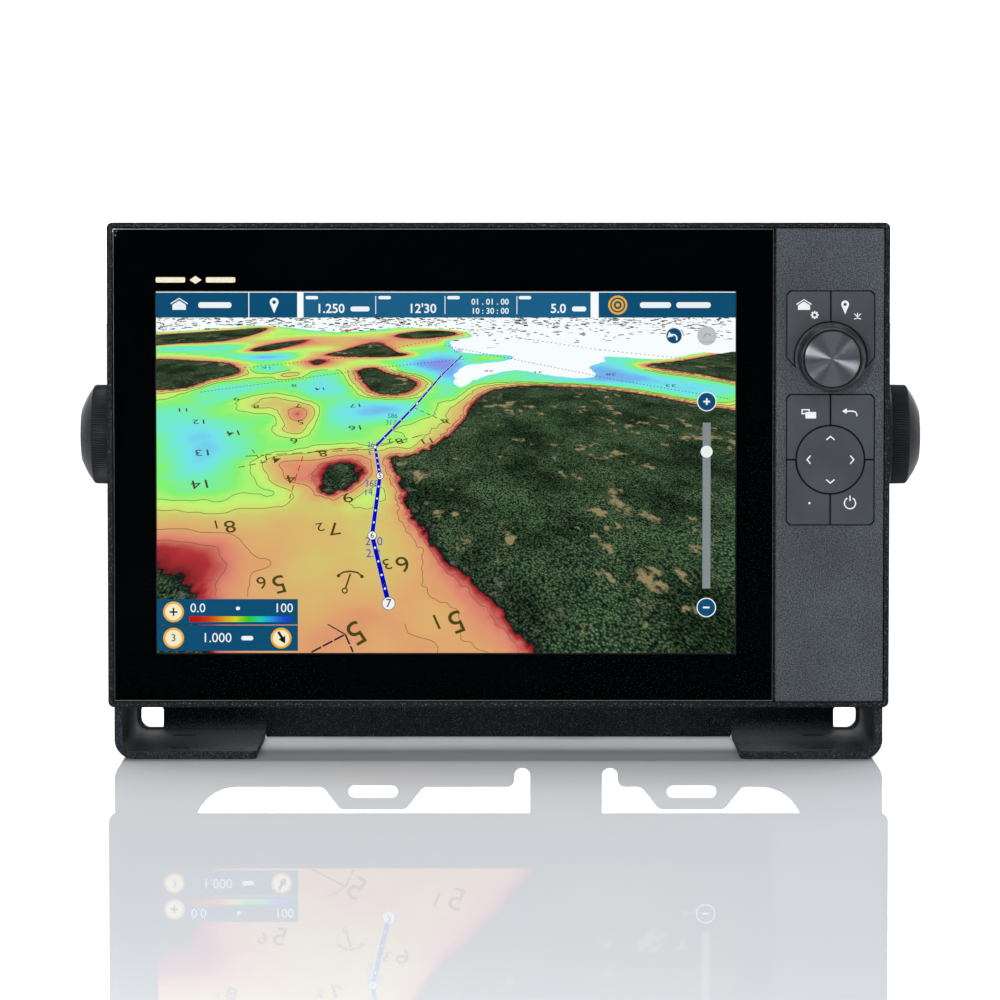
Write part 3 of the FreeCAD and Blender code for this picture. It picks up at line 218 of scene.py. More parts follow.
def circuit(name):
    """Solder mask over copper tracks."""
    s = Shader(name)
    inputs = {"Vector": s.place(), "Scale": 1.0 / (9 * MM), "Mortar Size": 0.03}
    for key, colour in (("Color1", (18, 92, 58)), ("Color2", (12, 74, 46)), ("Mortar", (64, 132, 84))):
        inputs[key] = paint(colour)
    bricks = s.node("TexBrick", inputs)
    s.set(Base_Color=bricks.outputs["Color"], Roughness=0.35, Coat_Weight=0.4)
    return s.relief(bricks.outputs["Fac"], 0.03 * MM, 0.4)


def glow(name, colour):
    """Lit picture element: an even colour with the faint unevenness of a backlight."""
    s = Shader(name)
    return s.cover("Emission", {"Color": s.mottle(s.noise(s.place(), 60 * MM, 1.0), colour, 0.96)})


def print_with_painted_glow(name, colour):
    """Ink on a key, with the slight break-up of pad printing and a faint painted glow that makes it brighter
    than the lamps alone would.
    """
    s = Shader(name)
    breaks = s.noise(s.place(), 0.25 * MM)
    s.set(Base_Color=s.mottle(breaks, colour, 0.93, 0.15), Roughness=0.45)
    # painted glow: the ink gives off a faint light of its own colour so that the legends look brighter
    s.set(Emission_Color=paint(colour), Emission_Strength=0.3)
    return s.relief(breaks, 0.004 * MM, 0.3)


# Grained surfaces: dark and light colour, grain in mm, roughness, relief in mm, specular, fleck, contrast
GRAINS = {
    "powder_coat": ((20, 23, 27), (60, 64, 72), 0.6, 0.66, 0.06, 0.14, (104, 109, 118), 0.2),
    "frame_plastic": ((10, 11, 12), (34, 35, 37), 0.6, 0.62, 0.06, 0.15, (112, 112, 114), 0.2),
    "knob_plastic": ((54, 56, 60), (64, 66, 70), 0.6, 0.34, 0.01, 0.2),
    "panel_plastic": ((46, 51, 57), (108, 114, 121), 0.56, 0.64, 0.08, 0.25, None, 0.24),
    "key_plastic": ((76, 81, 88), (83, 88, 95), 0.4, 0.55, 0.006, 0.25),
    "black_print": ((2, 3, 4), (3, 5, 7), 2.0, 0.8, 0.001, 0.0),
    "cast_case": ((20, 21, 23), (32, 34, 36), 0.9, 0.62, 0.08, 0.35, (50, 52, 55)),
    "connector_plastic": ((30, 31, 33), (42, 43, 46), 0.5, 0.5, 0.02),
}
materials = {name: grained(name, *looks) for name, looks in GRAINS.items()}
materials |= {
    "cover_glass": coated_glass("cover_glass", 1.05, (253, 254, 254)),
    "screen": grained("screen_module", (8, 9, 11), (11, 12, 14), 2.0, 0.4, 0.001, 0.2),
    "dial_plastic": lacquer("dial_lacquer", (38, 40, 43), 0.4, 0.5),
    "spun_aluminium": spun_metal(),
    "sheet_aluminium": metal("sheet_aluminium", (200, 201, 204), 0.38, 0.3, 0.004, (1, 1, 12)),
    "steel": metal("zinc_steel", (188, 186, 180), 0.34),
    "brass": metal("turned_brass", (206, 172, 98), 0.3),
    "rubber": grained("silicone_rubber", (20.8, 20.8, 22.4), (26, 26, 28), 0.5, 0.72, 0.015, 0.3),
    "circuit_board": circuit("circuit_board"),
}
clear_film = coated_glass("clear_film", 1.03, (254, 255, 255))
gold_pins = metal("gold_contacts", (226, 186, 104), 0.22)
key_ink = print_with_painted_glow("key_ink", (236, 238, 238))
body_of = {n: body for body, members in frame["record"]["behaviour"]["bodies"].items() for n in members}
slot_of = {part["node"]: part["material_slot"] for part in frame["record"]["subparts"]}


def coat(thing, material):
    thing.data.materials.clear()
    thing.data.materials.append(material)


for node_name, node_object in frame["nodes"].items():
    coat(node_object, materials[slot_of[node_name]])
coat(frame["nodes"]["touch_sensor"], clear_film)


# ---------------------------------------------------------------- mesh helpers


def finish_piece(name, mesh, body, slot, material=None, replaces=(), sharp=35):
    """Makes the object, shades it, and lets it ride on its body."""
    mesh.shade_smooth()
    mesh.set_sharp_from_angle(angle=math.radians(sharp))
    piece = bpy.data.objects.new(name, mesh)
    bpy.context.scene.collection.objects.link(piece)
    coat(piece, material or materials[slot])
    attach(piece, body)
    if replaces:
        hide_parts(*replaces)
    return piece


def replace(node, name, mesh, **rest):
    """A piece that takes a CAD node's place, with its body and its finish."""
    return finish_piece(name, mesh, body_of[node], slot_of[node], replaces=(node,), **rest)


def mesh_from(name, work):
    bmesh.ops.recalc_face_normals(work, faces=work.faces)
    mesh = bpy.data.meshes.new(name)
    work.to_mesh(mesh)
    work.free()
    return mesh


def softened(node, width, segments=2):
    """A copy of a CAD node with its edges rounded by a small radius, which takes the node's place."""
    work = bmesh.new()
    work.from_mesh(frame["nodes"][node].data)
    bmesh.ops.remove_doubles(work, verts=work.verts, dist=0.002 * MM)
    flat_angle = math.radians(0.4)
    bmesh.ops.dissolve_limit(
        work, angle_limit=flat_angle, verts=work.verts, edges=work.edges, use_dissolve_boundaries=False
    )
    piece = bpy.data.objects.new("rounded", mesh_from(node + "_shell", work))
    bpy.context.scene.collection.objects.link(piece)
    rounding = piece.modifiers.new("rounding", "BEVEL")
    rounding.width = width * MM
    rounding.segments = segments
    rounding.limit_method = "ANGLE"
    rounding.angle_limit = math.radians(32)
    rounding.miter_outer = "MITER_ARC"
    rounding.use_clamp_overlap = True
    made = bpy.data.meshes.new_from_object(piece.evaluated_get(bpy.context.evaluated_depsgraph_get()))
    bpy.data.objects.remove(piece)
    replace(node, node + "_shell", made)


def round_corner(along, radius, size, turn_from, turn_to, steps=4):
    """Profile points of a rounded corner: (along, radius) is the corner circle's middle."""
    turns = [math.radians(turn_from + (turn_to - turn_from) * i / steps) for i in range(steps + 1)]
    return [(along + size * math.cos(t), radius + size * math.sin(t)) for t in turns]


def skin(work, rings):
    """Faces between each ring of points and the next. A ring of one point is a tip."""
    for first, second in zip(rings, rings[1:]):
        for i in range(max(len(first), len(second))):
            here, there = ([ring[k % len(ring)] for k in (i, i + 1)] for ring in (first, second))
            corners = list(dict.fromkeys(here + there[::-1]))
            if len(corners) > 2:
                work.faces.new(corners)


def add_lathe(work, axis, centre, profile, segments=128, shapes=None):
    """Turns a profile of (along, radius) about X or Y through the centre. A shape scales a ring's radius
    by the angle, so that rings can have ribs, flats or slots."""
    rings = []
    for index, (along, radius) in enumerate(profile):
        shape = (shapes or {}).get(index)
        ring = []
        for i in range(1 if radius < 1e-6 else segments):
            angle = 2 * math.pi * i / segments
            reach = radius * (shape(angle) if shape else 1.0)
            a, b = reach * math.cos(angle), centre.z + reach * math.sin(angle)
            spot = (along, centre.y + a, b) if axis == "X" else (centre.x + a, along, b)
            ring.append(work.verts.new(Vector(spot) * MM))
        rings.append(ring)
    skin(work, rings)


def lathe(node, name, axis, centre, profile, segments=128, shapes=None, **rest):
    """A turned piece that takes a CAD node's place."""
    work = bmesh.new()
    add_lathe(work, axis, centre, profile, segments, shapes)
    replace(node, name, mesh_from(name, work), **rest)


def rectangle(x0, x1, z0, z1, radius=0.0, steps=6):
    """Points round a rectangle, with round corners if a radius is given."""
    if radius <= 0:
        return [(x0, z0), (x1, z0), (x1, z1), (x0, z1)]
    left, right, bottom, top = x0 + radius, x1 - radius, z0 + radius, z1 - radius
    points = []
    for x, z, start in ((right, bottom, -90), (right, top, 0), (left, top, 90), (left, bottom, 180)):
        points += round_corner(x, z, radius, start, start + 90, steps)
    return points


def stacked(node, name, levels, **rest):
    """A plate that takes a node's place, in levels of (inset, corner radius, y) from back to front."""
    low, high = edges_of(node)
    work = bmesh.new()
    rings = []
    for inset, radius, y in levels:
        outline = rectangle(low.x + inset, high.x - inset, low.z + inset, high.z - inset, radius, 5)
        rings.append([work.verts.new(Vector((x, y, z)) * MM) for x, z in outline])
    skin(work, rings)
    work.faces.new(rings[0])
    work.faces.new(rings[-1])
    replace(node, name, mesh_from(name, work), **rest)


# ---------------------------------------------------------------- flat drawing


class Ink:
    """Flat shapes in one plane that faces the front, later given a small thickness."""

    def __init__(self, name, y, middle, body, slot, material, thickness=0.01):
        self.name, self.y, self.middle = name, y, middle
        self.body, self.slot, self.material = body, slot, material
        self.thickness = thickness
        self.work = bmesh.new()

    def face(self, points):
        x, z = self.middle
        verts = [self.work.verts.new(Vector((x + px, self.y, z + pz)) * MM) for px, pz in points]
        self.work.faces.new(verts)

    def disc(self, x, z, radius, segments=40):
        self.face(circle(x, z, radius, segments))

    def ring(self, x, z, outer, inner, start=0.0, end=360.0):
        steps = max(3, int(48 * (end - start) / 360))
        edges = [round_corner(x, z, radius, start, end, steps) for radius in (inner, outer)]
        for i in range(steps):
            self.face([edges[0][i], edges[1][i], edges[1][i + 1], edges[0][i + 1]])

    def bar(self, x, z, width, height, radius=0.0):
        """A rectangle from its lower left corner, with round corners if a radius is given."""
        self.face(rectangle(x, x + width, z, z + height, radius))

    def stroke(self, points, width, end_width=None):
        """A line of even or tapering width through the points."""
        end_width = width if end_width is None else end_width
        total = max(len(points) - 1, 1)
        left, right = [], []
        for i, (x, z) in enumerate(points):
            before, after = points[max(i - 1, 0)], points[min(i + 1, total)]
            direction = Vector((after[0] - before[0], after[1] - before[1])).normalized()
            half = (width + (end_width - width) * i / total) / 2
            left.append((x - direction.y * half, z + direction.x * half))
            right.append((x + direction.y * half, z - direction.x * half))
        for i in range(total):
            self.face([left[i], right[i], right[i + 1], left[i + 1]])

    def digits(self, text, x, z, height, turn=0.0, squash=1.0, bold=0.0):
        """Numerals in the built-in font."""
        curve = bpy.data.curves.new("digits", "FONT")
        curve.body = text
        curve.align_x = curve.align_y = "CENTER"
        curve.size = height * 1.38
        curve.offset = bold
        curve.resolution_u = 3
        holder = bpy.data.objects.new("digits", curve)
        bpy.context.scene.collection.objects.link(holder)
        shape = bpy.data.meshes.new_from_object(holder.evaluated_get(bpy.context.evaluated_depsgraph_get()))
        bpy.data.objects.remove(holder)
        bpy.data.curves.remove(curve)
        cos, sin = math.cos(math.radians(turn)), math.sin(math.radians(turn))
        spots = []
        for across, up, _ in (vert.co for vert in shape.vertices):
            spots.append((x + across * cos - up * sin, z + (across * sin + up * cos) * squash))
        for polygon in shape.polygons:
            self.face([spots[i] for i in polygon.vertices])
        bpy.data.meshes.remove(shape)

    def done(self, **rest):
        bmesh.ops.remove_doubles(self.work, verts=self.work.verts, dist=0.001 * MM)
        bmesh.ops.triangulate(self.work, faces=self.work.faces)
        for polygon in self.work.faces:
            if polygon.normal.y > 0:
                polygon.normal_flip()
        back = bmesh.ops.extrude_face_region(self.work, geom=list(self.work.faces))
        moved = [item for item in back["geom"] if isinstance(item, bmesh.types.BMVert)]
        bmesh.ops.translate(self.work, verts=moved, vec=(0, -self.thickness * MM, 0))
        mesh = mesh_from(self.name, self.work)
        return finish_piece(self.name, mesh, self.body, self.slot, material=self.material, **rest)


def circle(x, z, radius, segments=40):
    return round_corner(x, z, radius, 0, 360, segments)[:-1]


# ---------------------------------------------------------------- the chart on the screen

LIT_WIDTH, LIT_HEIGHT = 261.12, 163.2
HORIZON = 175.0
MIDLINE = 130.0
CELL = 0.8
screen_middle = middle_of("lcd_panel")
picture_y = edges_of("touch_sensor")[1].y + 0.28

# Coastlines and the uncharted water, in millimetres from the lower left corner of the lit area.
MAINLAND = [
    (186, -22), (173, -3), (163, 10), (152, 22), (141, 33), (130, 43), (122, 54), (114, 64), (111, 75),
    (106, 88), (116, 89.5), (130, 97), (139, 106), (143, 113), (150, 118), (162, 120.5), (180, 120.5),
    (200, 119.5), (222, 116.5), (243, 112.5), (262, 109.5), (275, 107), (290, 60), (290, -22),
]
ISLANDS = [
    [(-5, 132), (18, 132), (32, 131), (37, 128), (35, 126), (22, 123), (13, 120), (-5, 120)],
    [(-5, 143), (20, 145), (35, 146), (50, 147), (44, 144), (30, 141), (11, 140), (-5, 139)],
    [(42, 137), (55, 140), (68, 141.5), (61, 139), (50, 136.5)],
    [(77, 134.6), (84, 136.6), (92, 139), (99, 140.3), (104, 138.6), (108, 136), (114, 134.8), (100, 133.8)],
    [(107, 143.4), (118, 145.4), (128, 145.6), (136, 144.4), (128, 142.8), (116, 142.2)],
    [(91, 127), (98, 129), (104, 126.5), (111, 125), (117, 122), (113, 118), (104, 117), (97, 119)],
    [(70, 131.5), (73, 132.6), (76, 131.8), (73, 130.4)],
    [(74, 77), (76, 83), (82, 86), (89, 85), (92, 81), (89, 77), (82, 73), (76, 73)],
    [(220, 130), (236, 132), (248, 134), (266, 136), (266, 123), (246, 126), (232, 128)],
    [(-6, 38), (3, 37), (9, 35), (14, 31), (17, 24), (20, 10), (21, -6), (-6, -6)],
]
UNCHARTED = [
    (-8, 147), (25, 146.5), (49, 148), (82, 145), (110, 147), (135, 146), (143, 143), (133, 141),
    (137, 136), (160, 134.5), (157, 132), (140, 130), (134, 125), (137, 120), (145, 124), (162, 128),
    (180, 125), (195, 124.5), (198, 126.5), (195, 129), (202, 132), (203, 134), (220, 133), (232, 133),
    (247, 136), (270, 137), (270, 170), (-8, 170),
]
# Deeper (+) and shoaler (-) places: x, y, width, height, amount
DEEPS = [
    (20, 138, 30, 2.0, 0.22), (48, 134, 16, 2.2, 0.36), (50, 128.5, 14, 1.6, 0.22), (33, 119, 24, 4, 0.16),
    (76, 122, 13, 5, 0.24), (102, 111, 18, 6, 0.26), (84, 107, 12, 6, 0.14), (12, 104, 22, 8, 0.14),
    (26, 94, 20, 7, 0.12), (19, 86, 12, 13, 0.2), (122, 131, 15, 5, 0.36), (132, 127, 8, 8, 0.26),
    (178, 123, 34, 3.5, 0.16), (208, 127, 26, 6, 0.36), (240, 119, 26, 5, 0.24), (232, 134, 16, 2.5, 0.22),
    (64, 108, 8, 4.5, -0.42), (74, 132, 12, 3, -0.3), (48, 113, 14, 5, -0.2), (62, 126, 9, 3, -0.22),
    (62, 101, 7, 3, -0.18), (100, 141, 44, 2.6, -0.3), (78, 82, 20, 9, -0.32), (6, 43, 30, 14, -0.28),
    (56, 86, 12, 4, -0.24), (60, 79, 10, 4, -0.2), (8, 60, 30, 7, -0.02), (92, 88, 12, 5, -0.1),
    (108, 45, 14, 18, 0.05), (60, 12, 45, 12, -0.03), (128, 18, 14, 20, 0.03), (124, 104, 14, 5, -0.08),
    (16, 141, 24, 2, -0.2), (60, 139, 14, 2, -0.25), (110, 120, 8, 4, -0.12), (236, 128, 20, 2.5, -0.3),
]
LEVELS = [
    (0, 0.27), (30, 0.29), (52, 0.335), (60, 0.365), (66, 0.44), (74, 0.55), (95, 0.55), (125, 0.55),
    (150, 0.54),
]
SHELF_WIDTHS = [(0, 0.085), (60, 0.07), (90, 0.07), (120, 0.1), (150, 0.13)]


def smooth_outline(points, steps=3):
    """A closed Catmull-Rom curve through the points."""
    result = []
    count = len(points)
    for i in range(count):
        a, b, c, d = (np.array(points[(i + k) % count], float) for k in (-1, 0, 1, 2))
        for k in range(steps):
            t = k / steps
            bend = (2 * a - 5 * b + 4 * c - d) * t**2 + (3 * b - a - 3 * c + d) * t**3
            result.append(0.5 * (2 * b + (c - a) * t + bend))
    return np.array(result)


def ground(points):
    """Screen places as places on the sea, seen in perspective."""
    away = HORIZON - points[:, 1]
    return np.stack([(points[:, 0] - MIDLINE) / away, HORIZON / away], axis=1)


def inside(points, outline):
    """True for the points inside a closed outline."""
    result = np.zeros(len(points), bool)
    following = np.roll(outline, -1, axis=0)
    for (ax, ay), (bx, by) in zip(outline, following):
        crosses = (ay > points[:, 1]) != (by > points[:, 1])
        reach = (bx - ax) * (points[:, 1] - ay) / (by - ay + 1e-12) + ax
        result ^= crosses & (points[:, 0] < reach)
    return result


def distance_to(points, outline):
    """Shortest distance from each point to the outline."""
    best = np.full(len(points), 1e9)
    for a, b in zip(outline, np.roll(outline, -1, axis=0)):
        edge = b - a
        share = np.clip(((points - a) @ edge) / max(edge @ edge, 1e-12), 0, 1)
        best = np.minimum(best, np.linalg.norm(points - a - share[:, None] * edge, axis=1))
    return best


def ripple(places, seed, lengths, count=9):
    """Smooth random waves over the sea, mostly between -1 and 1."""
    dice = random.Random(seed)
    total = np.zeros(len(places))
    for length in lengths:
        for _ in range(count):
            turn, phase = dice.uniform(0, 2 * math.pi), dice.uniform(0, 2 * math.pi)
            wave = 2 * math.pi / (length * dice.uniform(0.7, 1.4))
            along = places[:, 0] * math.cos(turn) + places[:, 1] * math.sin(turn)
            total += length * np.sin(wave * along + phase)
    return total / (sum(lengths) * math.sqrt(count / 2))


def chart_fields(spots):
    """Signed distance to the shore and to uncharted water, depth away from shores, and shelf width."""
    on_sea = ground(spots)

    def inland(outline):
        curve = smooth_outline(outline)
        return np.where(inside(spots, curve), 1.0, -1.0) * distance_to(on_sea, ground(curve))

    shore = np.max([inland(outline) for outline in [MAINLAND] + ISLANDS], axis=0)
    shore += 0.009 * ripple(on_sea, 5, (0.1, 0.05, 0.03))
    blank = inland(UNCHARTED) + 0.012 * ripple(on_sea, 6, (0.2, 0.08))
    shelf = np.interp(spots[:, 1], *zip(*SHELF_WIDTHS))
    depth = np.interp(spots[:, 1], *zip(*LEVELS))
    for x, y, width, height, amount in DEEPS:
        depth += amount * np.exp(-(((spots[:, 0] - x) / width) ** 2) - ((spots[:, 1] - y) / height) ** 2)
    depth += 0.035 * ripple(on_sea, 4, (0.5, 0.22, 0.1))
    beside = 0.86 * np.exp(-np.abs(blank) / 0.2)
    far_water = np.clip((spots[:, 1] - 118) / 10, 0, 1)
    depth += (np.maximum(depth, beside) - depth) * far_water
    return {"shore": shore, "blank": blank, "depth": np.clip(depth, 0.1, 1), "shelf": shelf}


def chart_material():
    """Depth tints, wooded land with clearings and bare rock, and blank water."""
    s = Shader("chart_picture")

    def field(name, output="Fac"):
        return s.node("Attribute", {}, attribute_name=name).outputs[output]

    def plus(first, second, share):
        return s.math("ADD", first, s.math("MULTIPLY", second, share))

    place = field("sea_place", "Vector")
    ragged = s.math("SUBTRACT", s.noise(place, 0.03, 6.0, 0.7), 0.5)
    shore, blank = plus(field("shore"), ragged, 0.045), plus(field("blank"), ragged, 0.06)
    offshore = s.math("MAXIMUM", s.math("MULTIPLY", shore, -1.0))
    fall = s.math("EXPONENT", s.math("MULTIPLY", s.math("DIVIDE", offshore, field("shelf")), -1.0))
    depth = s.math("MULTIPLY", field("depth"), s.math("POWER", s.math("SUBTRACT", 1.0, fall), 0.8))
    water = s.ramp(depth, [
        (0.0, (84, 24, 28)), (0.07, (176, 50, 54)), (0.15, (224, 130, 112)), (0.25, (228, 170, 112)),
        (0.36, (216, 200, 112)), (0.46, (204, 243, 116)), (0.56, (134, 243, 116)), (0.66, (118, 238, 192)),
        (0.77, (118, 228, 238)), (0.88, (116, 182, 240)), (1.0, (136, 146, 230)),
    ])

    crowns = s.node("TexVoronoi", {"Vector": place, "Scale": 1 / 0.0075}, feature="F1").outputs["Distance"]
    leaf = s.noise(place, 0.003, 3.0, 0.7)
    shade = plus(crowns, s.math("SUBTRACT", leaf, 0.5), 0.9)
    greens = [(0.1, (132, 146, 104)), (0.34, (78, 102, 70)), (0.58, (42, 64, 48)), (0.85, (16, 30, 26))]
    trees = s.ramp(shade, greens)
    slopes = s.ramp(s.noise(place, 0.3, 5.0, 0.6), [(0.38, (138, 148, 140)), (0.62, (255, 255, 248))])
    land = s.mix(1.0, trees, slopes, "MULTIPLY")
    grass = s.ramp(leaf, [(0.3, (104, 96, 64)), (0.55, (158, 140, 102)), (0.75, (190, 176, 138))])
    rock = s.ramp(leaf, [(0.3, (62, 68, 62)), (0.6, (112, 110, 100)), (0.8, (150, 146, 138))])
    glades = plus(s.noise(place, 0.1, 7.0, 0.68), s.math("SUBTRACT", s.noise(place, 0.5), 0.5), 0.5)
    near_shore = s.math("SUBTRACT", 1.0, s.step(shore, 0.16, 0.1))
    crags = plus(s.noise(place, 0.06, 6.0, 0.7), near_shore, 0.06)
    land = s.mix(s.step(glades, 0.63, 0.03), land, grass)
    land = s.mix(s.step(crags, 0.67, 0.03), land, rock)
    land = s.mix(s.step(shore, 0.012, 0.012), (14, 22, 24), land)
    picture = s.mix(s.step(blank, 0.0, 0.004), water, (253, 254, 254))
    return s.cover("Emission", {"Color": s.mix(s.step(shore, 0.0, 0.0015), picture, land)})


def chart_picture():
    """The lit area as a fine grid that carries the shore, depth and place fields."""
    columns, rows = round(LIT_WIDTH / CELL), round(LIT_HEIGHT / CELL)
    xs, ys = np.linspace(0, LIT_WIDTH, columns + 1), np.linspace(0, LIT_HEIGHT, rows + 1)
    spots = np.stack(np.meshgrid(xs, ys), axis=-1).reshape(-1, 2)
    corners = np.zeros((len(spots), 3))
    corners[:, 0] = spots[:, 0] - LIT_WIDTH / 2 + screen_middle.x
    corners[:, 1] = picture_y
    corners[:, 2] = spots[:, 1] - LIT_HEIGHT / 2 + screen_middle.z
    first = (np.arange(rows)[:, None] * (columns + 1) + np.arange(columns)).ravel()
    quads = np.stack([first, first + 1, first + columns + 2, first + columns + 1], axis=1)
    mesh = bpy.data.meshes.new("chart_picture")
    mesh.from_pydata((corners * MM).tolist(), [], quads.tolist())
    fields = chart_fields(spots)
    for name, values in fields.items():
        mesh.attributes.new(name, "FLOAT", "POINT").data.foreach_set("value", values.astype(np.float32))
    place = np.zeros((len(spots), 3), np.float32)
    place[:, :2] = ground(spots)
    mesh.attributes.new("sea_place", "FLOAT_VECTOR", "POINT").data.foreach_set("vector", place.ravel())
    finish_piece("chart_picture", mesh, "display", "screen", material=chart_material())
    sloping = 1 - np.exp(-np.clip(-fields["shore"], 0, None) / fields["shelf"])
    depth = np.where((fields["blank"] > 0) | (fields["shore"] > 0), np.nan, fields["depth"] * sloping**0.8)
    contours(spots, quads, depth)


def contours(spots, quads, depth):
    """Thin lines of equal depth, cut through each triangle of the grid."""
    ink = screen_ink("depth_contours", 1, (104, 98, 50))
    triangles = np.concatenate([quads[:, [0, 1, 2]], quads[:, [0, 2, 3]]])
    for level in (0.13, 0.24, 0.405, 0.5):
        above = depth[triangles] > level
        valid = ~np.isnan(depth[triangles]).any(axis=1)
        for odd in range(3):
            others = [(odd + 1) % 3, (odd + 2) % 3]
            alone = (above[:, odd] != above[:, others[0]]) & (above[:, odd] != above[:, others[1]]) & valid
            corners = triangles[alone]
            ends = []
            for other in others:
                first, second = corners[:, odd], corners[:, other]
                share = ((level - depth[first]) / (depth[second] - depth[first]))[:, None]
                ends.append(spots[first] + (spots[second] - spots[first]) * share)
            for start, end in zip(*ends):
                if np.hypot(*(end - start)) > 0.05 and start[1] < 128 and (start[1] > 26 or start[0] > 112):
                    ink.stroke([tuple(start), tuple(end)], 0.26)
    ink.done()


def screen_ink(name, layer, colour):
    """A drawing layer in front of the chart; places are from the lit area's lower left corner."""
    corner = (screen_middle.x - LIT_WIDTH / 2, screen_middle.z - LIT_HEIGHT / 2)
    return Ink(name, picture_y - 0.04 * layer, corner, "display", "screen", glow(name, colour))


def screen_inks(*rows):
    return [screen_ink(*row) for row in rows]


def finish_inks(inks):
    for ink in inks:
        ink.done()


def perspective(z):
    return (HORIZON - z) / HORIZON


def sounding(ink, whole, part, x, z, turn, size=12.5):
    """A depth number with its fraction set low, lying on the sea."""
    scale = perspective(z)
    height = size * scale
    ink.digits(whole, x, z, height, turn, scale, bold=0.012)
    if part:
        reach = 0.5 * height * (len(whole) + 0.45)
        cos, sin = math.cos(math.radians(turn)), math.sin(math.radians(turn)) * scale
        down = 0.28 * height
        ink.digits(part, x + reach * cos + down * sin, z + reach * sin - down * cos * scale, 0.68 * height,
                   turn, scale, bold=0.012)


def chart_marks():
    """Soundings, dashes and an anchor, dark on the chart and turned as the chart is."""
    ink = screen_ink("chart_marks", 2, (78, 72, 26))
    soundings = [
        ("8", "1", 33, 57.5, 190), ("7", "2", 80, 56.5, 192), ("5", "6", 55, 31.5, 196),
        ("6", "3", 111, 40.5, 202), ("5", "", 89.5, 9.4, 212), ("5", "1", 135, 14.5, 202),
        ("9", "", 86, 70.5, 196), ("14", "", 20, 76.6, 188), ("13", "", 21, 90.8, 184),
        ("14", "", 35, 99.6, 190), ("12", "", 19.5, 104.7, 182), ("11", "", 12, 110, 182),
        ("16", "", 90, 102, 188), ("17", "", 90, 112, 188), ("14", "", 74, 119.5, 188),
        ("9", "", 36, 115, 184), ("8", "", 45, 111.5, 184), ("8", "", 75, 90.4, 190),
        ("4", "1", 54, 87.7, 186), ("4", "", 60.5, 79, 190), ("8", "2", 109.5, 96, 196),
        ("11", "", 122, 96, 196), ("8", "", 130, 105, 196), ("7", "", 64, 112, 186),
        ("5", "", 65, 104.5, 186), ("6", "", 62, 96, 186), ("16", "", 50, 129, 184),
        ("8", "", 62, 121, 186), ("26", "", 150, 127.5, 182), ("31", "", 172, 127, 182),
        ("28", "", 205, 126, 180), ("33", "", 232, 121, 180),
    ]
    for row in soundings:
        sounding(ink, *row)
    ink.stroke([(85.2, 29.4), (87.4, 36.0)], 0.75)
    ink.ring(84.8, 28.2, 1.4, 0.8)
    ink.stroke([(82.0, 35.2), (84.2, 36.6), (87.4, 37.0), (90.6, 36.4), (92.6, 34.8)], 0.75)
    ink.disc(82.0, 35.0, 0.8)
    ink.disc(92.6, 34.6, 0.8)
    for points, dash, gap, width in (
        ([(37, 84), (52, 87)], 3.0, 2.0, 0.35),
        ([(43, 92), (48, 86)], 2.0, 1.0, 0.35),
        ([(40, 89), (72, 91), (95, 92), (121, 99)], 5.0, 2.0, 0.3),
        ([(20, 118), (50, 122), (100, 129), (140, 133)], 0.6, 1.0, 0.3),
        ([(0, 124), (40, 129), (90, 134), (150, 147)], 0.6, 1.2, 0.3),
        ([(116, 111), (134, 103)], 2.0, 1.2, 0.3),
        ([(130, 139), (170, 131), (210, 123), (258, 115)], 0.6, 1.0, 0.3),
        ([(160, 143), (200, 137), (258, 131)], 0.6, 1.4, 0.3),
    ):
        dashed(ink, points, dash, gap, width)
    ink.done()
    print_marks = screen_ink("uncharted_marks", 2, (44, 44, 46))
    pencil = random.Random(7)
    region = smooth_outline(UNCHARTED)
    places = [(pencil.uniform(0, LIT_WIDTH - 3), 151.6 - abs(pencil.gauss(0, 4.5))) for _ in range(900)]
    kept = inside(np.array(places), region)
    for (x, z), keep in zip(places, kept):
        length = pencil.uniform(0.4, 2.2) * (0.6 + perspective(z) * 4)
        width = pencil.uniform(0.14, 0.42)
        if keep:
            print_marks.stroke([(x, z), (x + length, z + pencil.uniform(-0.25, 0.25))], width)
    print_marks.done()
    red = screen_ink("chart_limits", 2, (206, 70, 40))
    dashed(red, [(66, 89), (63, 80), (60, 70)], 2.6, 1.6, 0.5)
    dashed(red, [(72, 91.5), (100, 93.5), (118, 98)], 5.0, 3.0, 0.3)
    red.stroke([(83, 145.4), (88, 146), (91, 146.4)], 0.5)
    red.done()
    bearing = screen_ink("range_lines", 2, (30, 32, 52))
    bearing.stroke([(77, 13), (85, 8.4)], 0.55)
    dashed(bearing, [(69.7, 0.3), (85, 8.4), (88.5, 0.4)], 5.0, 0.8, 0.8)
    bearing.done()


def dashed(ink, points, dash, gap, width):
    """A dashed line through the points."""
    for (ax, az), (bx, bz) in zip(points, points[1:]):
        length = math.hypot(bx - ax, bz - az)
        at = 0.0
        while at < length:
            shares = at / length, min(at + dash, length) / length
            ink.stroke([(ax + (bx - ax) * t, az + (bz - az) * t) for t in shares], width)
            at = min(at + dash, length) + gap


ROUTE = [
    (104.6, 22.4, 2.3, 3.05), (97.2, 53.2, 1.95, 2.05), (100.8, 80.2, 1.6, 1.75), (98.6, 93.2, 1.1, 0.9),
    (117.6, 112.8, 0.8, 0.8), (128.6, 125.6, 0.65, 0.5), (137.6, 134.2, 0.5, 0.4),
]


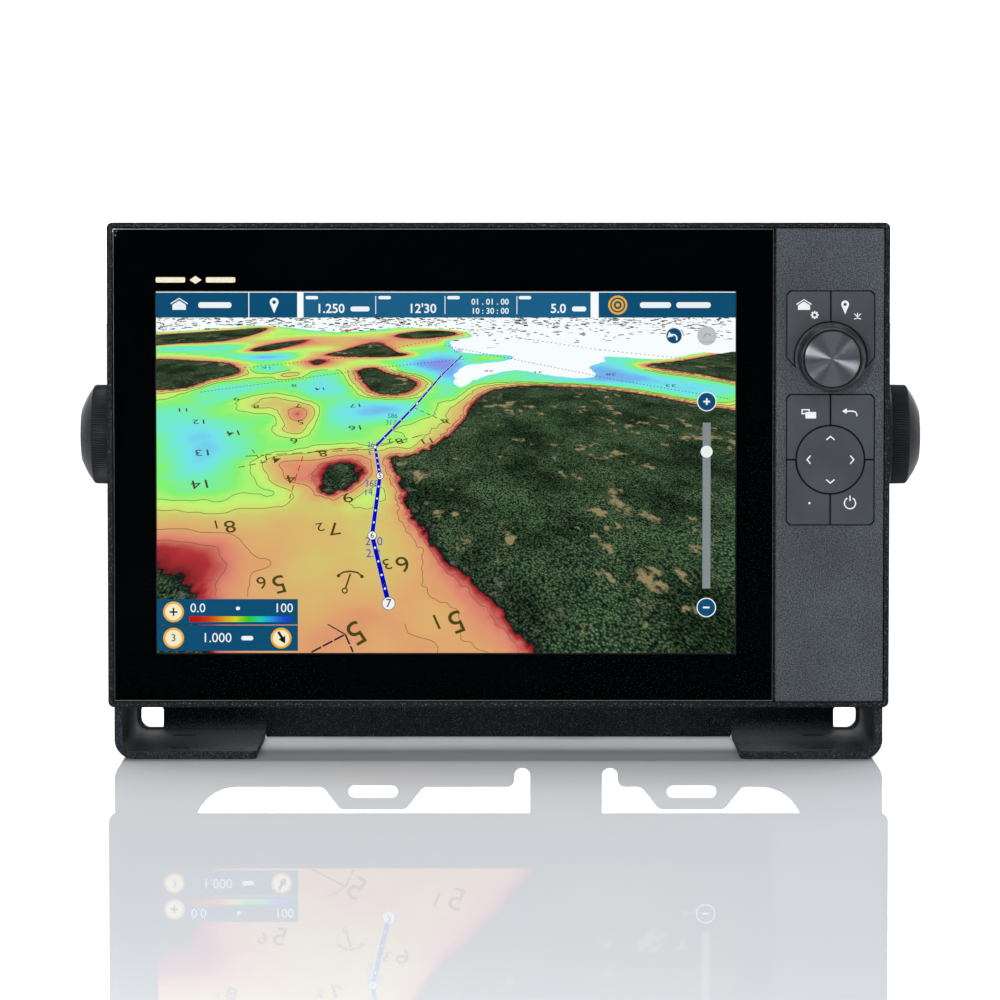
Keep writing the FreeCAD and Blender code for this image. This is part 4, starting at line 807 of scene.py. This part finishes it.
def planned_route():
    """The route line with its waypoints, thinner as it runs away."""
    inks = screen_inks(
        ("route_edge", 3, (206, 214, 240)), ("route_line", 4, (8, 8, 190)),
        ("route_bead_rims", 5, (34, 34, 60)), ("route_beads", 6, (250, 250, 250)),
        ("route_digits", 7, (22, 22, 30)), ("route_notes", 2.5, (70, 84, 190)),
    )
    edge, line, rims, beads, names, notes = inks
    for (ax, az, width, _), (bx, bz, ahead, _) in zip(ROUTE, ROUTE[1:]):
        edge.stroke([(ax, az), (bx, bz)], width + 0.35, ahead + 0.35)
        line.stroke([(ax, az), (bx, bz)], width, ahead)
        for share in (0.22, 0.42, 0.62, 0.82):
            x, z = ax + (bx - ax) * share, az + (bz - az) * share
            beads.disc(x, z, 0.22 * width, 10)
    for number, (x, z, _, radius) in zip("765", ROUTE):
        names.digits(number, x, z, radius * 1.25, bold=0.02)
    for x, z, _, radius in ROUTE:
        rims.disc(x, z, radius)
        beads.disc(x, z, radius - 0.25)
    for text, x, z, height in (
        ("270", 98, 50.4, 3.9), ("2.8", 97.6, 45.0, 3.9), ("368", 97, 76.6, 3.1), ("14.6", 97, 72.6, 3.1),
        ("264", 97.5, 94.2, 2.4), ("6.1", 97.5, 90.6, 2.4), ("586", 106.5, 107.2, 2.2),
        ("31.5", 106, 104.2, 2.2), ("1200", 136, 136.6, 1.5),
    ):
        notes.digits(text, x, z, height)
    finish_inks(inks)


def house(ink, x, z, size):
    """A house under a separate roof line."""
    half = size / 2
    ink.stroke([(x - half, z + 0.08 * size), (x, z + 0.4 * size), (x + half, z + 0.08 * size)], 0.07 * size)
    body = [(-0.4, -0.28), (0.4, -0.28), (0.4, 0.02), (0, 0.27), (-0.4, 0.02)]
    ink.face([(x + px * size, z + pz * size) for px, pz in body])


def map_pin(ink, x, z, size):
    """A drop with a hole: two halves, each with its share of the inner and outer edge."""
    radius, hole, tip = 0.33 * size, 0.14 * size, -0.62 * size
    top = z + 0.22 * size
    touch = math.asin(radius / (top - z - tip))
    for side in (-1, 1):
        outer = [(x, z + tip)]
        for i in range(17):
            angle = -touch + (math.pi / 2 + touch) * i / 16
            outer.append((x + side * radius * math.cos(angle), top + radius * math.sin(angle)))
        turns = [math.pi * i / 12 for i in range(13)]
        ink.face(outer + [(x + side * hole * math.sin(t), top + hole * math.cos(t)) for t in turns])


def chevron(ink, x, z, direction):
    dx, dz = direction
    size, back, ahead = 1.85, 0.74, 0.8325
    arms = [(x - dx * back + dz * size, z - dz * back - dx * size), (x + dx * ahead, z + dz * ahead)]
    arms.append((x - dx * back - dz * size, z - dz * back + dx * size))
    mitred(ink, arms, 0.55)


def mitred(ink, points, width):
    """A bent line of three points with a sharp, even-width corner."""
    a, b, c = (Vector(p) for p in points)
    first, second = (b - a).normalized(), (c - b).normalized()
    left, right = Vector((-first.y, first.x)), Vector((-second.y, second.x))
    corner = (left + right).normalized() / max((left + right).normalized().dot(left), 0.3)
    half = width / 2
    ink.face([a + left * half, a - left * half, b - corner * half, b + corner * half])
    ink.face([b + corner * half, b - corner * half, c - right * half, c + right * half])


def round_button(base, mark, x, z, radius):
    base.disc(x, z, radius)
    mark.ring(x, z, radius, radius - 0.45)


def word_bars(ink, x, z, widths, height=1.5, gap=1.1):
    """Plain bars that stand for words."""
    for width in widths:
        ink.bar(x, z - height / 2, width, height, height * 0.45)
        x += width + gap


def screen_controls():
    """Header bar, data cells, buttons, the zoom slider and the scale panel."""
    inks = screen_inks(
        ("menu_panels", 6, (16, 80, 118)), ("data_cells", 6, (30, 96, 136)),
        ("menu_marks", 7, (246, 250, 252)), ("button_faces", 6.5, (248, 250, 250)),
        ("button_bases", 6, (18, 78, 122)), ("slider_track", 6, (140, 146, 150)),
        ("idle_button", 6, (198, 200, 203)), ("gold_rims", 7, (244, 178, 50)),
        ("cream_badges", 8, (252, 240, 208)), ("badge_marks", 9, (26, 24, 22)),
    )
    panel, cells, light, white, blue, grey, pale, gold, cream, dark = inks
    tall = 11.3
    low = LIT_HEIGHT - 0.35 - tall
    centre = low + tall / 2
    slider_x = 248.2
    for ink, *box in (
        (panel, 0.0, low, 41.6, tall), (panel, 42.0, low, 21.6, tall), (cells, 66.4, low, 129.4, tall),
        (panel, 199.4, low, LIT_WIDTH - 199.4, tall), (panel, 0.0, 0.9, 63.6, 11.6),
        (panel, 0.0, 12.8, 63.6, 11.6),
        (light, 98.8, low + 1.6, 0.35, tall - 3.2), (light, 130.0, low + 1.6, 0.35, tall - 3.2),
        (light, 162.4, low + 1.6, 0.35, tall - 3.2), (grey, slider_x - 1.8, 29.2, 3.6, 75.0),
        (white, slider_x - 0.4, 112.2, 0.8, 1.1), (white, slider_x - 0.4, 114.1, 0.8, 1.1),
        (dark, 5.6, 18.2, 3.6, 0.7), (dark, 7.05, 16.8, 0.7, 3.6),
    ):
        ink.bar(*box)
    for ink, *words in (
        (light, 19.0, centre, (15.0,), 2.6), (light, 218.0, centre, (14.0, 15.5), 2.6, 2.4),
        (light, 67.4, low + 9.0, (5.6,), 1.5), (light, 100.2, low + 9.0, (5.6,), 1.5),
        (light, 131.2, low + 9.0, (5.6,), 1.5), (light, 163.4, low + 9.0, (5.6,), 1.5),
        (light, 87.6, low + 3.9, (8.6,), 2.2), (light, 187.4, low + 3.9, (6.4,), 2.2),
        (grey, 244.8, 140.6, (2.4, 1.2, 2.2), 0.3, 0.5), (light, 38.0, 6.7, (5.4,), 2.0),
        (cream, slider_x - 1.1, 91.6, (2.2,), 0.4), (cream, slider_x - 1.1, 90.6, (2.2,), 0.4),
        (light, 35.6, 20.2, (1.8,), 1.6),
    ):
        word_bars(ink, *words)
    for text, x, z, height, bold in (
        ("1.250", 78.6, low + 3.9, 4.2, 0.09), ("12'30", 120.0, low + 3.9, 4.2, 0.09),
        ("5.0", 181.2, low + 3.9, 4.2, 0.09), ("10 : 30 : 00", 150.5, low + 2.9, 2.7, 0.05),
        ("01 . 01 . 00", 150.5, low + 7.0, 2.7, 0.05), ("0.0", 18.4, 20.2, 4.2, 0.0),
        ("100", 57.2, 20.2, 4.2, 0.0), ("1.000", 27.0, 6.7, 4.4, 0.0),
    ):
        light.digits(text, x, z, height, bold=bold)
    house(light, 10.4, centre, 7.6)
    map_pin(light, 53.2, centre, 6.0)
    for outer in (4.3, 2.7):
        gold.ring(208.0, centre, outer, outer - 0.9)
    gold.disc(208.0, centre, 0.9)

    round_button(blue, white, 233.4, 143.4, 3.9)
    white.ring(233.0, 142.2, 2.0, 1.35, -30, 120)
    white.face([(231.2, 145.2), (230.4, 142.6), (233.2, 143.2)])
    pale.disc(248.2, 143.4, 4.3)
    grey.ring(248.4, 142.6, 1.9, 1.4, 30, 180)
    for z in (113.7, 20.6):
        round_button(blue, white, slider_x, z, 4.4)
        white.bar(slider_x - 1.5, z - 0.4, 3.0, 0.8)
    white.disc(slider_x, 91.1, 2.7)
    for x, z in ((7.4, 18.6), (7.4, 6.7), (56.0, 6.7)):
        gold.disc(x, z, 4.7)
        cream.disc(x, z, 3.7)
    dark.digits("3", 7.4, 6.7, 3.4)
    dark.face([(54.2, 9.4), (55.2, 9.9), (56.9, 7.2), (57.9, 7.8), (57.8, 4.2), (54.8, 6.2), (55.8, 6.7)])
    finish_inks(inks)
    scale_bar()


def scale_bar():
    """The colour scale of the depths, in small steps from shoal red to deep blue."""
    tints = [(196, 18, 14), (214, 66, 20), (226, 146, 22), (222, 214, 30), (60, 204, 30), (30, 208, 190),
             (34, 138, 222), (24, 66, 206)]
    steps = 5
    count = len(tints) * steps
    start, width = 14.6, 46.0 / count
    bars = screen_ink("depth_scale", 7, WHITE)
    shades = []
    for i in range(count):
        bars.bar(start + i * width, 14.0, width, 2.6)
        place, share = divmod(max(i - steps / 2, 0), steps)
        first, second = tints[int(place)], tints[min(int(place) + 1, len(tints) - 1)]
        shades.append(paint([a + (b - a) * share / steps for a, b in zip(first, second)]))
    piece = bars.done()
    colours = piece.data.color_attributes.new("tint", "FLOAT_COLOR", "CORNER")
    left = screen_middle.x - LIT_WIDTH / 2 + start
    for polygon in piece.data.polygons:
        index = int((polygon.center.x / MM - left) / width)
        for corner in polygon.loop_indices:
            colours.data[corner].color = shades[min(max(index, 0), count - 1)]
    s = Shader("depth_scale_tints")
    tint = s.node("Attribute", {}, attribute_name="tint")
    coat(piece, s.cover("Emission", {"Color": tint.outputs["Color"]}))


def screen_module():
    """The panel behind the picture: a black active area in a thin folded metal rim."""
    low, high = edges_of("lcd_panel")
    front, rim = low.y + 0.35, 5.0
    levels = ((0.0, high.y), (0.0, front + 0.15), (0.5, front), (rim, front), (rim, front + 0.15))
    stacked("lcd_panel", "screen_module", [(inset, 0.0, y) for inset, y in levels])


def front_glass():
    """Cover glass with a polished bevel all round, a hair thinner than its seat, a painted highlight line
    along the bevel, and the print behind it.
    """
    low, high = edges_of("cover_glass")
    polish = 0.45
    levels = [(0.0, 1.2, high.y - 0.06), (0.0, 1.2, low.y + polish), (0.14, 1.06, low.y + 0.14)]
    stacked("cover_glass", "front_glass", levels + [(polish, 0.75, low.y)], sharp=20)

    def surround(ink, inset, left, right, below, above):
        """Four bars inside the glass's outline."""
        x, z = low.x + inset, low.z + inset
        width, height = high.x - inset - x, high.z - inset - z
        ink.bar(x, z, width, below)
        ink.bar(x, z + height - above, width, above)
        ink.bar(x, z + below, left, height - below - above)
        ink.bar(x + width - right, z + below, right, height - below - above)

    # painted highlight: a light grey frame just inside the glass's bevel stands in for the bright line that
    # the polished edge would reflect
    bright = lacquer("painted_edge_highlight", (122, 122, 123), 0.3, 0.2)
    line = Ink("glass_edge_highlight", low.y + polish + 0.05, (0.0, 0.0), "display", "cover_glass", bright, 0.02)
    surround(line, 0.3, 0.12, 0.12, 0.3, 0.3)
    line.done()
    black = materials["black_print"]
    border = Ink("border_print", high.y - 0.01, (0.0, 0.0), "display", "black_print", black, 0.04)
    opening = Vector((LIT_WIDTH / 2 + 0.7, 0.0, LIT_HEIGHT / 2 + 0.7))
    first, second = screen_middle - opening - low, high - screen_middle - opening
    surround(border, 0.1, first.x, second.x, first.z, second.z)
    border.done(replaces=("border_mask",))

    gold = metal("gold_print", (250, 238, 214), 0.55)
    mark = Ink("front_mark", high.y - 0.12, (low.x + 19.4, high.z - 23.3), "display", "brass", gold)
    mark.bar(0.0, -1.2, 13.2, 2.4, 0.6)
    mark.bar(22.6, -1.2, 13.2, 2.4, 0.6)
    mark.face([(15.2, 0.0), (17.9, -1.8), (20.6, 0.0), (17.9, 1.8)])
    mark.done()


# ---------------------------------------------------------------- keys and knobs


def key_icons():
    """White marks on the keys and the cursor pad, placed from the middle of the dial or the pad."""
    inks = []
    for name, node, centre in (
        ("home_icon", "home_key", "knob_cap"), ("waypoint_icon", "waypoint_key", "knob_cap"),
        ("window_icon", "window_key", "cursor_pad"), ("back_icon", "back_key", "cursor_pad"),
        ("function_icon", "function_key", "cursor_pad"), ("power_icon", "power_key", "cursor_pad"),
        ("pad_icons", "cursor_pad", "cursor_pad"),
    ):
        middle = middle_of(centre)
        face, body = edges_of(node)[0].y, body_of[node]
        inks.append(Ink(name, face, (middle.x, middle.z), body, "key_plastic", key_ink, thickness=0.03))
    home, waypoint, window, back, dot, power, arrows = inks

    house(home, -12.1, 23.7, 6.8)
    gear_x, gear_z = -7.3, 19.5
    home.ring(gear_x, gear_z, 1.35, 0.7)
    for i in range(8):
        angle = math.pi * i / 4
        cos, sin = math.cos(angle), math.sin(angle)
        tooth = [(1.3, -0.38), (1.85, -0.26), (1.85, 0.26), (1.3, 0.38)]
        home.face([(gear_x + a * cos - b * sin, gear_z + a * sin + b * cos) for a, b in tooth])

    map_pin(waypoint, 6.4, 23.1, 5.3)
    mitred(waypoint, [(10.5, 20.1), (12.0, 18.7), (13.5, 20.1)], 0.4)
    mitred(waypoint, [(10.4, 17.6), (12.0, 18.2), (13.6, 17.6)], 0.4)
    waypoint.stroke([(12.0, 20.5), (12.0, 19.1)], 0.42)

    window.bar(-11.3, 18.6, 4.8, 2.9, 0.25)
    window.bar(-13.1, 20.5, 0.55, 2.3)
    window.bar(-12.55, 22.25, 3.15, 0.55)
    window.bar(-12.55, 20.5, 1.3, 0.55)
    window.bar(-9.95, 21.7, 0.55, 0.55)
    back.stroke([(6.2, 21.9), (10.0, 21.9), (11.1, 21.6), (11.7, 20.9), (11.9, 19.6)], 0.55)
    back.face([(5.2, 21.9), (7.3, 23.2), (7.3, 20.6)])
    dot.disc(-9.4, -19.6, 0.5)
    power.ring(8.9, -19.6, 2.8, 2.25, 118, 422)
    power.bar(8.62, -18.7, 0.56, 2.5, 0.2)
    for dx, dz in ((0, 1), (-1, 0), (1, 0), (0, -1)):
        chevron(arrows, dx * 9.7, dz * 9.7, (dx, dz))
    finish_inks(inks)


def rotary_knob():
    """Lacquered knob: a straight skirt, a cone, a thin bright lip, and a dished seat for the cap."""
    low, high = edges_of("rotary_knob")
    cap_low, cap_high = edges_of("knob_cap")
    centre = middle_of("knob_cap")
    radius = (high.x - low.x) / 2 - 0.3
    cap = (cap_high.x - cap_low.x) / 2
    face, rear = low.y, high.y
    lip = cap + 1.15
    profile = [(rear, 3.2), (rear, radius - 0.5)]
    profile += round_corner(rear - 0.5, radius - 0.5, 0.5, 0, 90, 3)
    profile += round_corner(face + 3.6, radius - 0.3, 0.3, 90, 150, 3)
    profile += [(face + 0.55, lip + 0.35)]
    profile += round_corner(face + 0.3, lip, 0.3, 60, 180, 5)
    profile += [(face + 0.35, lip - 0.45), (face + 0.9, cap + 0.12)]
    profile += [(cap_high.y, cap + 0.1), (cap_high.y, 0.0)]
    lathe("rotary_knob", "dial_shell", "Y", centre, profile, 192, sharp=25)

    outline = [(cap_high.y - 0.05, 0.0), (cap_high.y - 0.05, cap), (cap_low.y + 0.3, cap)]
    outline += round_corner(cap_low.y + 0.22, cap - 0.2, 0.2, 90, 180, 4)
    grooves = 24
    for i in range(1, grooves):
        along = cap_low.y + (0.006 if i % 2 else 0.0)
        outline.append((along, (cap - 0.4) * (1 - i / grooves)))
    outline.append((cap_low.y, 0.0))
    lathe("knob_cap", "dial_face", "Y", centre, outline, 192, sharp=30)


def clamp_knobs():
    """Side knobs: a plain band by the arm, fine ribs, and a smooth cone with a slightly domed end."""
    ribs, rib_depth = 122, 0.9

    def ribbed(angle):
        wave = max(-0.5, min(0.7, math.cos(ribs * angle)))
        return 1.0 - rib_depth / 22.8 * (0.7 - wave) / 1.2

    for name, side, band in (("left", -1, 1.3), ("right", 1, 3.0)):
        low, high = edges_of(f"{name}_clamp_knob")
        start = low.x if side > 0 else high.x
        grip = (high.z - low.z) / 2
        plain = [(0.0, 4.2), (0.0, grip - 3.0), (0.4, grip - 3.0), (0.4, grip - 0.4), (0.8, grip)]
        plain += [(band, grip), (band + 0.1, grip - 0.4), (band + 0.3, grip - 0.4)]
        teeth = [(0.4, 0.15), (0.8, 0.0), (7.0, 0.1), (7.5, 0.35), (7.9, 0.7)]
        teeth = [(band + along, grip - dip) for along, dip in teeth]
        foot, tip = (band + 8.1, grip - 1.0), (band + 13.0, 13.2)
        cone = [foot]
        steps, bulge = 6, 0.3
        for share in (i / steps for i in range(1, steps + 1)):
            swell = bulge * math.sin(math.pi * share)
            cone.append(tuple(a + (b - a) * share + swell for a, b in zip(foot, tip)))
        dome = [(0.4, 12.4), (0.6, 11), (0.9, 8), (1, 4), (1, 0)]
        dome = [(tip[0] + rise, radius) for rise, radius in dome]
        profile = [(start + side * along, radius) for along, radius in plain + teeth + cone + dome]
        shapes = {len(plain) + i: ribbed for i in range(len(teeth))}
        centre = middle_of(f"{name}_clamp_stud")
        lathe(f"{name}_clamp_knob", f"{name}_knob_grip", "X", centre, profile, ribs * 6, shapes, sharp=50)


# ---------------------------------------------------------------- back of the display


def six_sided(share):
    """The shape of a hexagon whose flats are a share of the radius away."""

    def shape(angle):
        return share / math.cos((angle + math.pi / 6) % (math.pi / 3) - math.pi / 6)

    return shape


def screw_head(work, x, z, seat, radius, height):
    """A rounded head with a six-sided socket, facing the back."""
    shares = ((0, 0), (0, 1), (0.45, 1), (0.8, 0.9), (1, 0.62), (1, 0.5), (1, 0.46), (0.35, 0.44), (0.3, 0))
    profile = [(seat + height * along, radius * share) for along, share in shares]
    add_lathe(work, "Y", Vector((x, 0, z)), profile, 24, {6: six_sided(0.9), 7: six_sided(0.9)})


def island_boxes(node):
    """Boxes of the separate solids of one node, in millimetres."""
    work = bmesh.new()
    work.from_mesh(frame["nodes"][node].data)
    bmesh.ops.remove_doubles(work, verts=work.verts, dist=0.002 * MM)
    seen, boxes = set(), []
    for start in work.verts:
        if start in seen:
            continue
        stack, members = [start], []
        seen.add(start)
        while stack:
            vert = stack.pop()
            members.append(vert.co / MM)
            for edge in vert.link_edges:
                other = edge.other_vert(vert)
                if other not in seen:
                    seen.add(other)
                    stack.append(other)
        boxes.append(tuple(Vector(pick(c[i] for c in members) for i in range(3)) for pick in (min, max)))
    work.free()
    return boxes


def screws(node, head_height):
    """Rounded socket heads in place of a node's plain screws, shanks and all."""
    work = bmesh.new()
    for low, high in island_boxes(node):
        x, z = (low.x + high.x) / 2, (low.z + high.z) / 2
        seat = high.y - head_height
        screw_head(work, x, z, seat, (high.x - low.x) / 2, head_height)
        shank = [(low.y, 0.0), (low.y, 1.4), (seat, 1.4), (seat, 0.0)]
        add_lathe(work, "Y", Vector((x, 0, z)), shank, 16)
    name = node[:-1] + "_heads"
    replace(node, name, mesh_from(name, work), sharp=40)


def socket(node, contacts, pitch):
    """A round socket: flange, threaded shell, chamfered mouth, and contacts on an inner block."""
    low, high = edges_of(node)
    centre = middle_of(node)
    flange = (high.x - low.x) / 2
    radius = flange - 2.0
    seat, mouth = edges_of("connector_plate")[1].y, high.y
    profile = [(low.y, 0.0), (low.y, radius - 1.2), (seat, radius - 1.2), (seat, flange - 0.3)]
    profile += [(seat + 0.3, flange), (seat + 2.0, flange)]
    profile += [(seat + 2.5, flange - 0.5), (seat + 2.5, radius - 0.5)]
    along = seat + 3.0
    thread = ((0.0, 0.5), (0.3, 0.0), (0.55, 0.0), (0.85, 0.5))
    while along + pitch < mouth - 0.8:
        profile += [(along + pitch * share, radius - dip) for share, dip in thread]
        along += pitch
    well = ((0.5, 0.5), (0.0, 0.9), (0.0, 1.5), (0.3, 1.9), (5.5, 1.9), (5.5, radius))
    profile += [(mouth - back, radius - dip) for back, dip in well]
    lathe(node, f"{node}_shell", "Y", centre, profile, 96, sharp=30)

    work = bmesh.new()
    inner = radius - 2.6
    outline = [(5.45, 0.0), (5.45, inner), (2.9, inner), (2.6, inner - 0.3), (2.6, 0.0)]
    outline = [(mouth - back, reach) for back, reach in outline]
    add_lathe(work, "Y", centre, outline, 64, {1: keyed, 2: keyed, 3: keyed})
    finish_piece(f"{node}_block", mesh_from("block", work), "display", "connector_plastic", sharp=30)
    work = bmesh.new()
    pin = 0.45 if contacts > 4 else 0.8
    outline = [(2.65, 0.0), (2.65, pin), (1.6, pin), (1.3, pin * 0.6), (1.25, 0.0)]
    outline = [(mouth - back, reach) for back, reach in outline]
    for i in range(contacts):
        angle = 2 * math.pi * i / contacts + math.pi / 2
        spot = centre + inner * 0.58 * Vector((math.cos(angle), 0.0, math.sin(angle)))
        add_lathe(work, "Y", spot, outline, 16)
    finish_piece(f"{node}_pins", mesh_from("pins", work), "display", "brass", material=gold_pins, sharp=30)


def keyed(angle):
    """A round block with one keyway at the top."""
    away = abs((angle - math.pi / 2 + math.pi) % (2 * math.pi) - math.pi)
    return 0.8 if away < 0.16 else 1.0


def vent():
    """Breather cap with a ring of slots."""
    low, high = edges_of("breather_vent")
    radius = (high.x - low.x) / 2
    face = high.y - 3.0

    def slotted(angle):
        return 0.9 if math.cos(12 * angle) > 0.45 else 1.0

    profile = [(low.y, 0.0), (low.y, 2.9), (face, 2.9)]
    profile += [(face + along, radius) for along in (0, 0.5, 0.55, 2.0, 2.05, 2.4)]
    profile += [(high.y - 0.25, radius - 0.35), (high.y, radius - 0.9)]
    profile += [(high.y, 2.0), (high.y - 0.3, 1.7), (high.y - 0.3, 0.0)]
    shapes = {5: slotted, 6: slotted}
    lathe("breather_vent", "vent_cap", "Y", middle_of("breather_vent"), profile, 144, shapes)


def earth_screw():
    """Hexagon-headed screw with its washer and a socket in the head."""
    low, high = edges_of("ground_screw")
    face = high.y - 3.6
    outline = [(0, 1.9), (0, 4.8), (0.2, 5), (0.6, 5), (0.8, 4.8), (0.8, 4), (3, 4), (3.6, 3.4), (3.6, 1.6)]
    profile = [(low.y, 0.0), (low.y, 1.9)]
    profile += [(face + along, radius) for along, radius in outline + [(2, 1.5), (1.9, 0)]]
    shapes = {index: six_sided(0.87) for index in (7, 8, 9)}
    lathe("ground_screw", "earth_terminal", "Y", middle_of("ground_screw"), profile, 72, shapes, sharp=25)


def rear_fittings():
    screws("frame_screws", 1.8)
    screws("plate_screws", 2.0)
    socket("power_connector", 3, 1.5)
    socket("nmea_connector", 5, 1.0)
    socket("network_connector", 8, 1.5)
    socket("transducer_connector", 7, 1.5)
    vent()
    earth_screw()


# ---------------------------------------------------------------- floor, lights and camera


def studio_floor():
    """A wide pale glossy floor that shows a faint mirror image."""
    half_m = 9.0
    mesh = bpy.data.meshes.new("studio_floor")
    corners = rectangle(-half_m, half_m, -half_m, half_m)
    mesh.from_pydata([(x, y, 0.0) for x, y in corners], [], [(0, 1, 2, 3)])
    floor = bpy.data.objects.new("studio_floor", mesh)
    bpy.context.scene.collection.objects.link(floor)
    s = Shader("pale_acrylic")
    tone = s.ramp(s.noise(s.place(), 0.5), [(0.3, (240, 243, 248)), (0.7, (243, 246, 251))])
    matt = s.node("BsdfDiffuse", {"Color": tone})
    mirror = s.node("BsdfGlossy", {"Roughness": 0.006})
    coat(floor, s.cover("MixShader", {0: 0.3, 1: matt.outputs[0], 2: mirror.outputs[0]}))


def studio_world():
    """Soft surroundings: a white backdrop behind the object and dim air in front of it."""
    world = bpy.data.worlds.new("studio_world")
    world.use_nodes = True
    nodes, links = world.node_tree.nodes, world.node_tree.links
    split = nodes.new("ShaderNodeSeparateXYZ")
    links.new(nodes.new("ShaderNodeTexCoord").outputs["Generated"], split.inputs[0])
    total = nodes.new("ShaderNodeMath")
    for index, ends in enumerate(((0.1, 0.9, 0.13, 0.9), (0.9, 0.975, 0.0, 2.9))):
        spread = nodes.new("ShaderNodeMapRange")
        spread.interpolation_type = "SMOOTHSTEP"
        for name, value in zip(("From Min", "From Max", "To Min", "To Max"), ends):
            spread.inputs[name].default_value = value
        links.new(split.outputs["Y"], spread.inputs["Value"])
        links.new(spread.outputs["Result"], total.inputs[index])
    links.new(total.outputs[0], nodes["Background"].inputs["Strength"])
    nodes["Background"].inputs["Color"].default_value = paint(WHITE)
    bpy.context.scene.world = world


def softbox(name, place_m, target_m, width_m, height_m, power):
    light = bpy.data.lights.new(name, "AREA")
    light.shape = "RECTANGLE"
    light.size, light.size_y = width_m, height_m
    light.energy = power
    holder = bpy.data.objects.new(name, light)
    holder.location = place_m
    holder.rotation_euler = (Vector(target_m) - Vector(place_m)).to_track_quat("-Z", "Y").to_euler()
    bpy.context.scene.collection.objects.link(holder)


def studio_lights():
    dial = (0.15, -0.07, 0.18)
    softbox("overhead", (0.0, 0.15, 1.4), (0.0, 0.0, 0.0), 1.5, 0.9, 15)
    softbox("left_strip", (-0.32, -1.35, 0.33), dial, 0.12, 0.2, 5)
    softbox("right_strip", (0.95, -1.15, 0.62), dial, 0.2, 0.75, 2)
    softbox("front_fill", (0.25, -2.6, 1.9), (0.0, -0.05, 0.15), 1.6, 0.8, 10)


def camera():
    lens = bpy.data.cameras.new("camera")
    lens.sensor_width = 36.0
    lens.lens = 190.0
    lens.clip_end = 60.0
    holder = bpy.data.objects.new("camera", lens)
    holder.location = (0.0007, -2.43, 0.250)
    holder.rotation_euler = (math.radians(90 - 3.17), 0, 0)
    bpy.context.scene.collection.objects.link(holder)
    bpy.context.scene.camera = holder
    bpy.context.scene.view_settings.view_transform = "Standard"


camera()
studio_world()
studio_lights()
studio_floor()
softened("mounting_bracket", 0.45, 3)
softened("front_frame", 0.22)
softened("control_panel", 0.2)
softened("card_door", 0.35)
softened("video_connector", 0.5)
softened("usb_connector", 0.5)
for key in ("home_key", "waypoint_key", "window_key", "back_key", "function_key", "power_key", "cursor_pad"):
    softened(key, 0.24, 3)
screen_module()
chart_picture()
chart_marks()
planned_route()
screen_controls()
front_glass()
key_icons()
rotary_knob()
clamp_knobs()
rear_fittings()
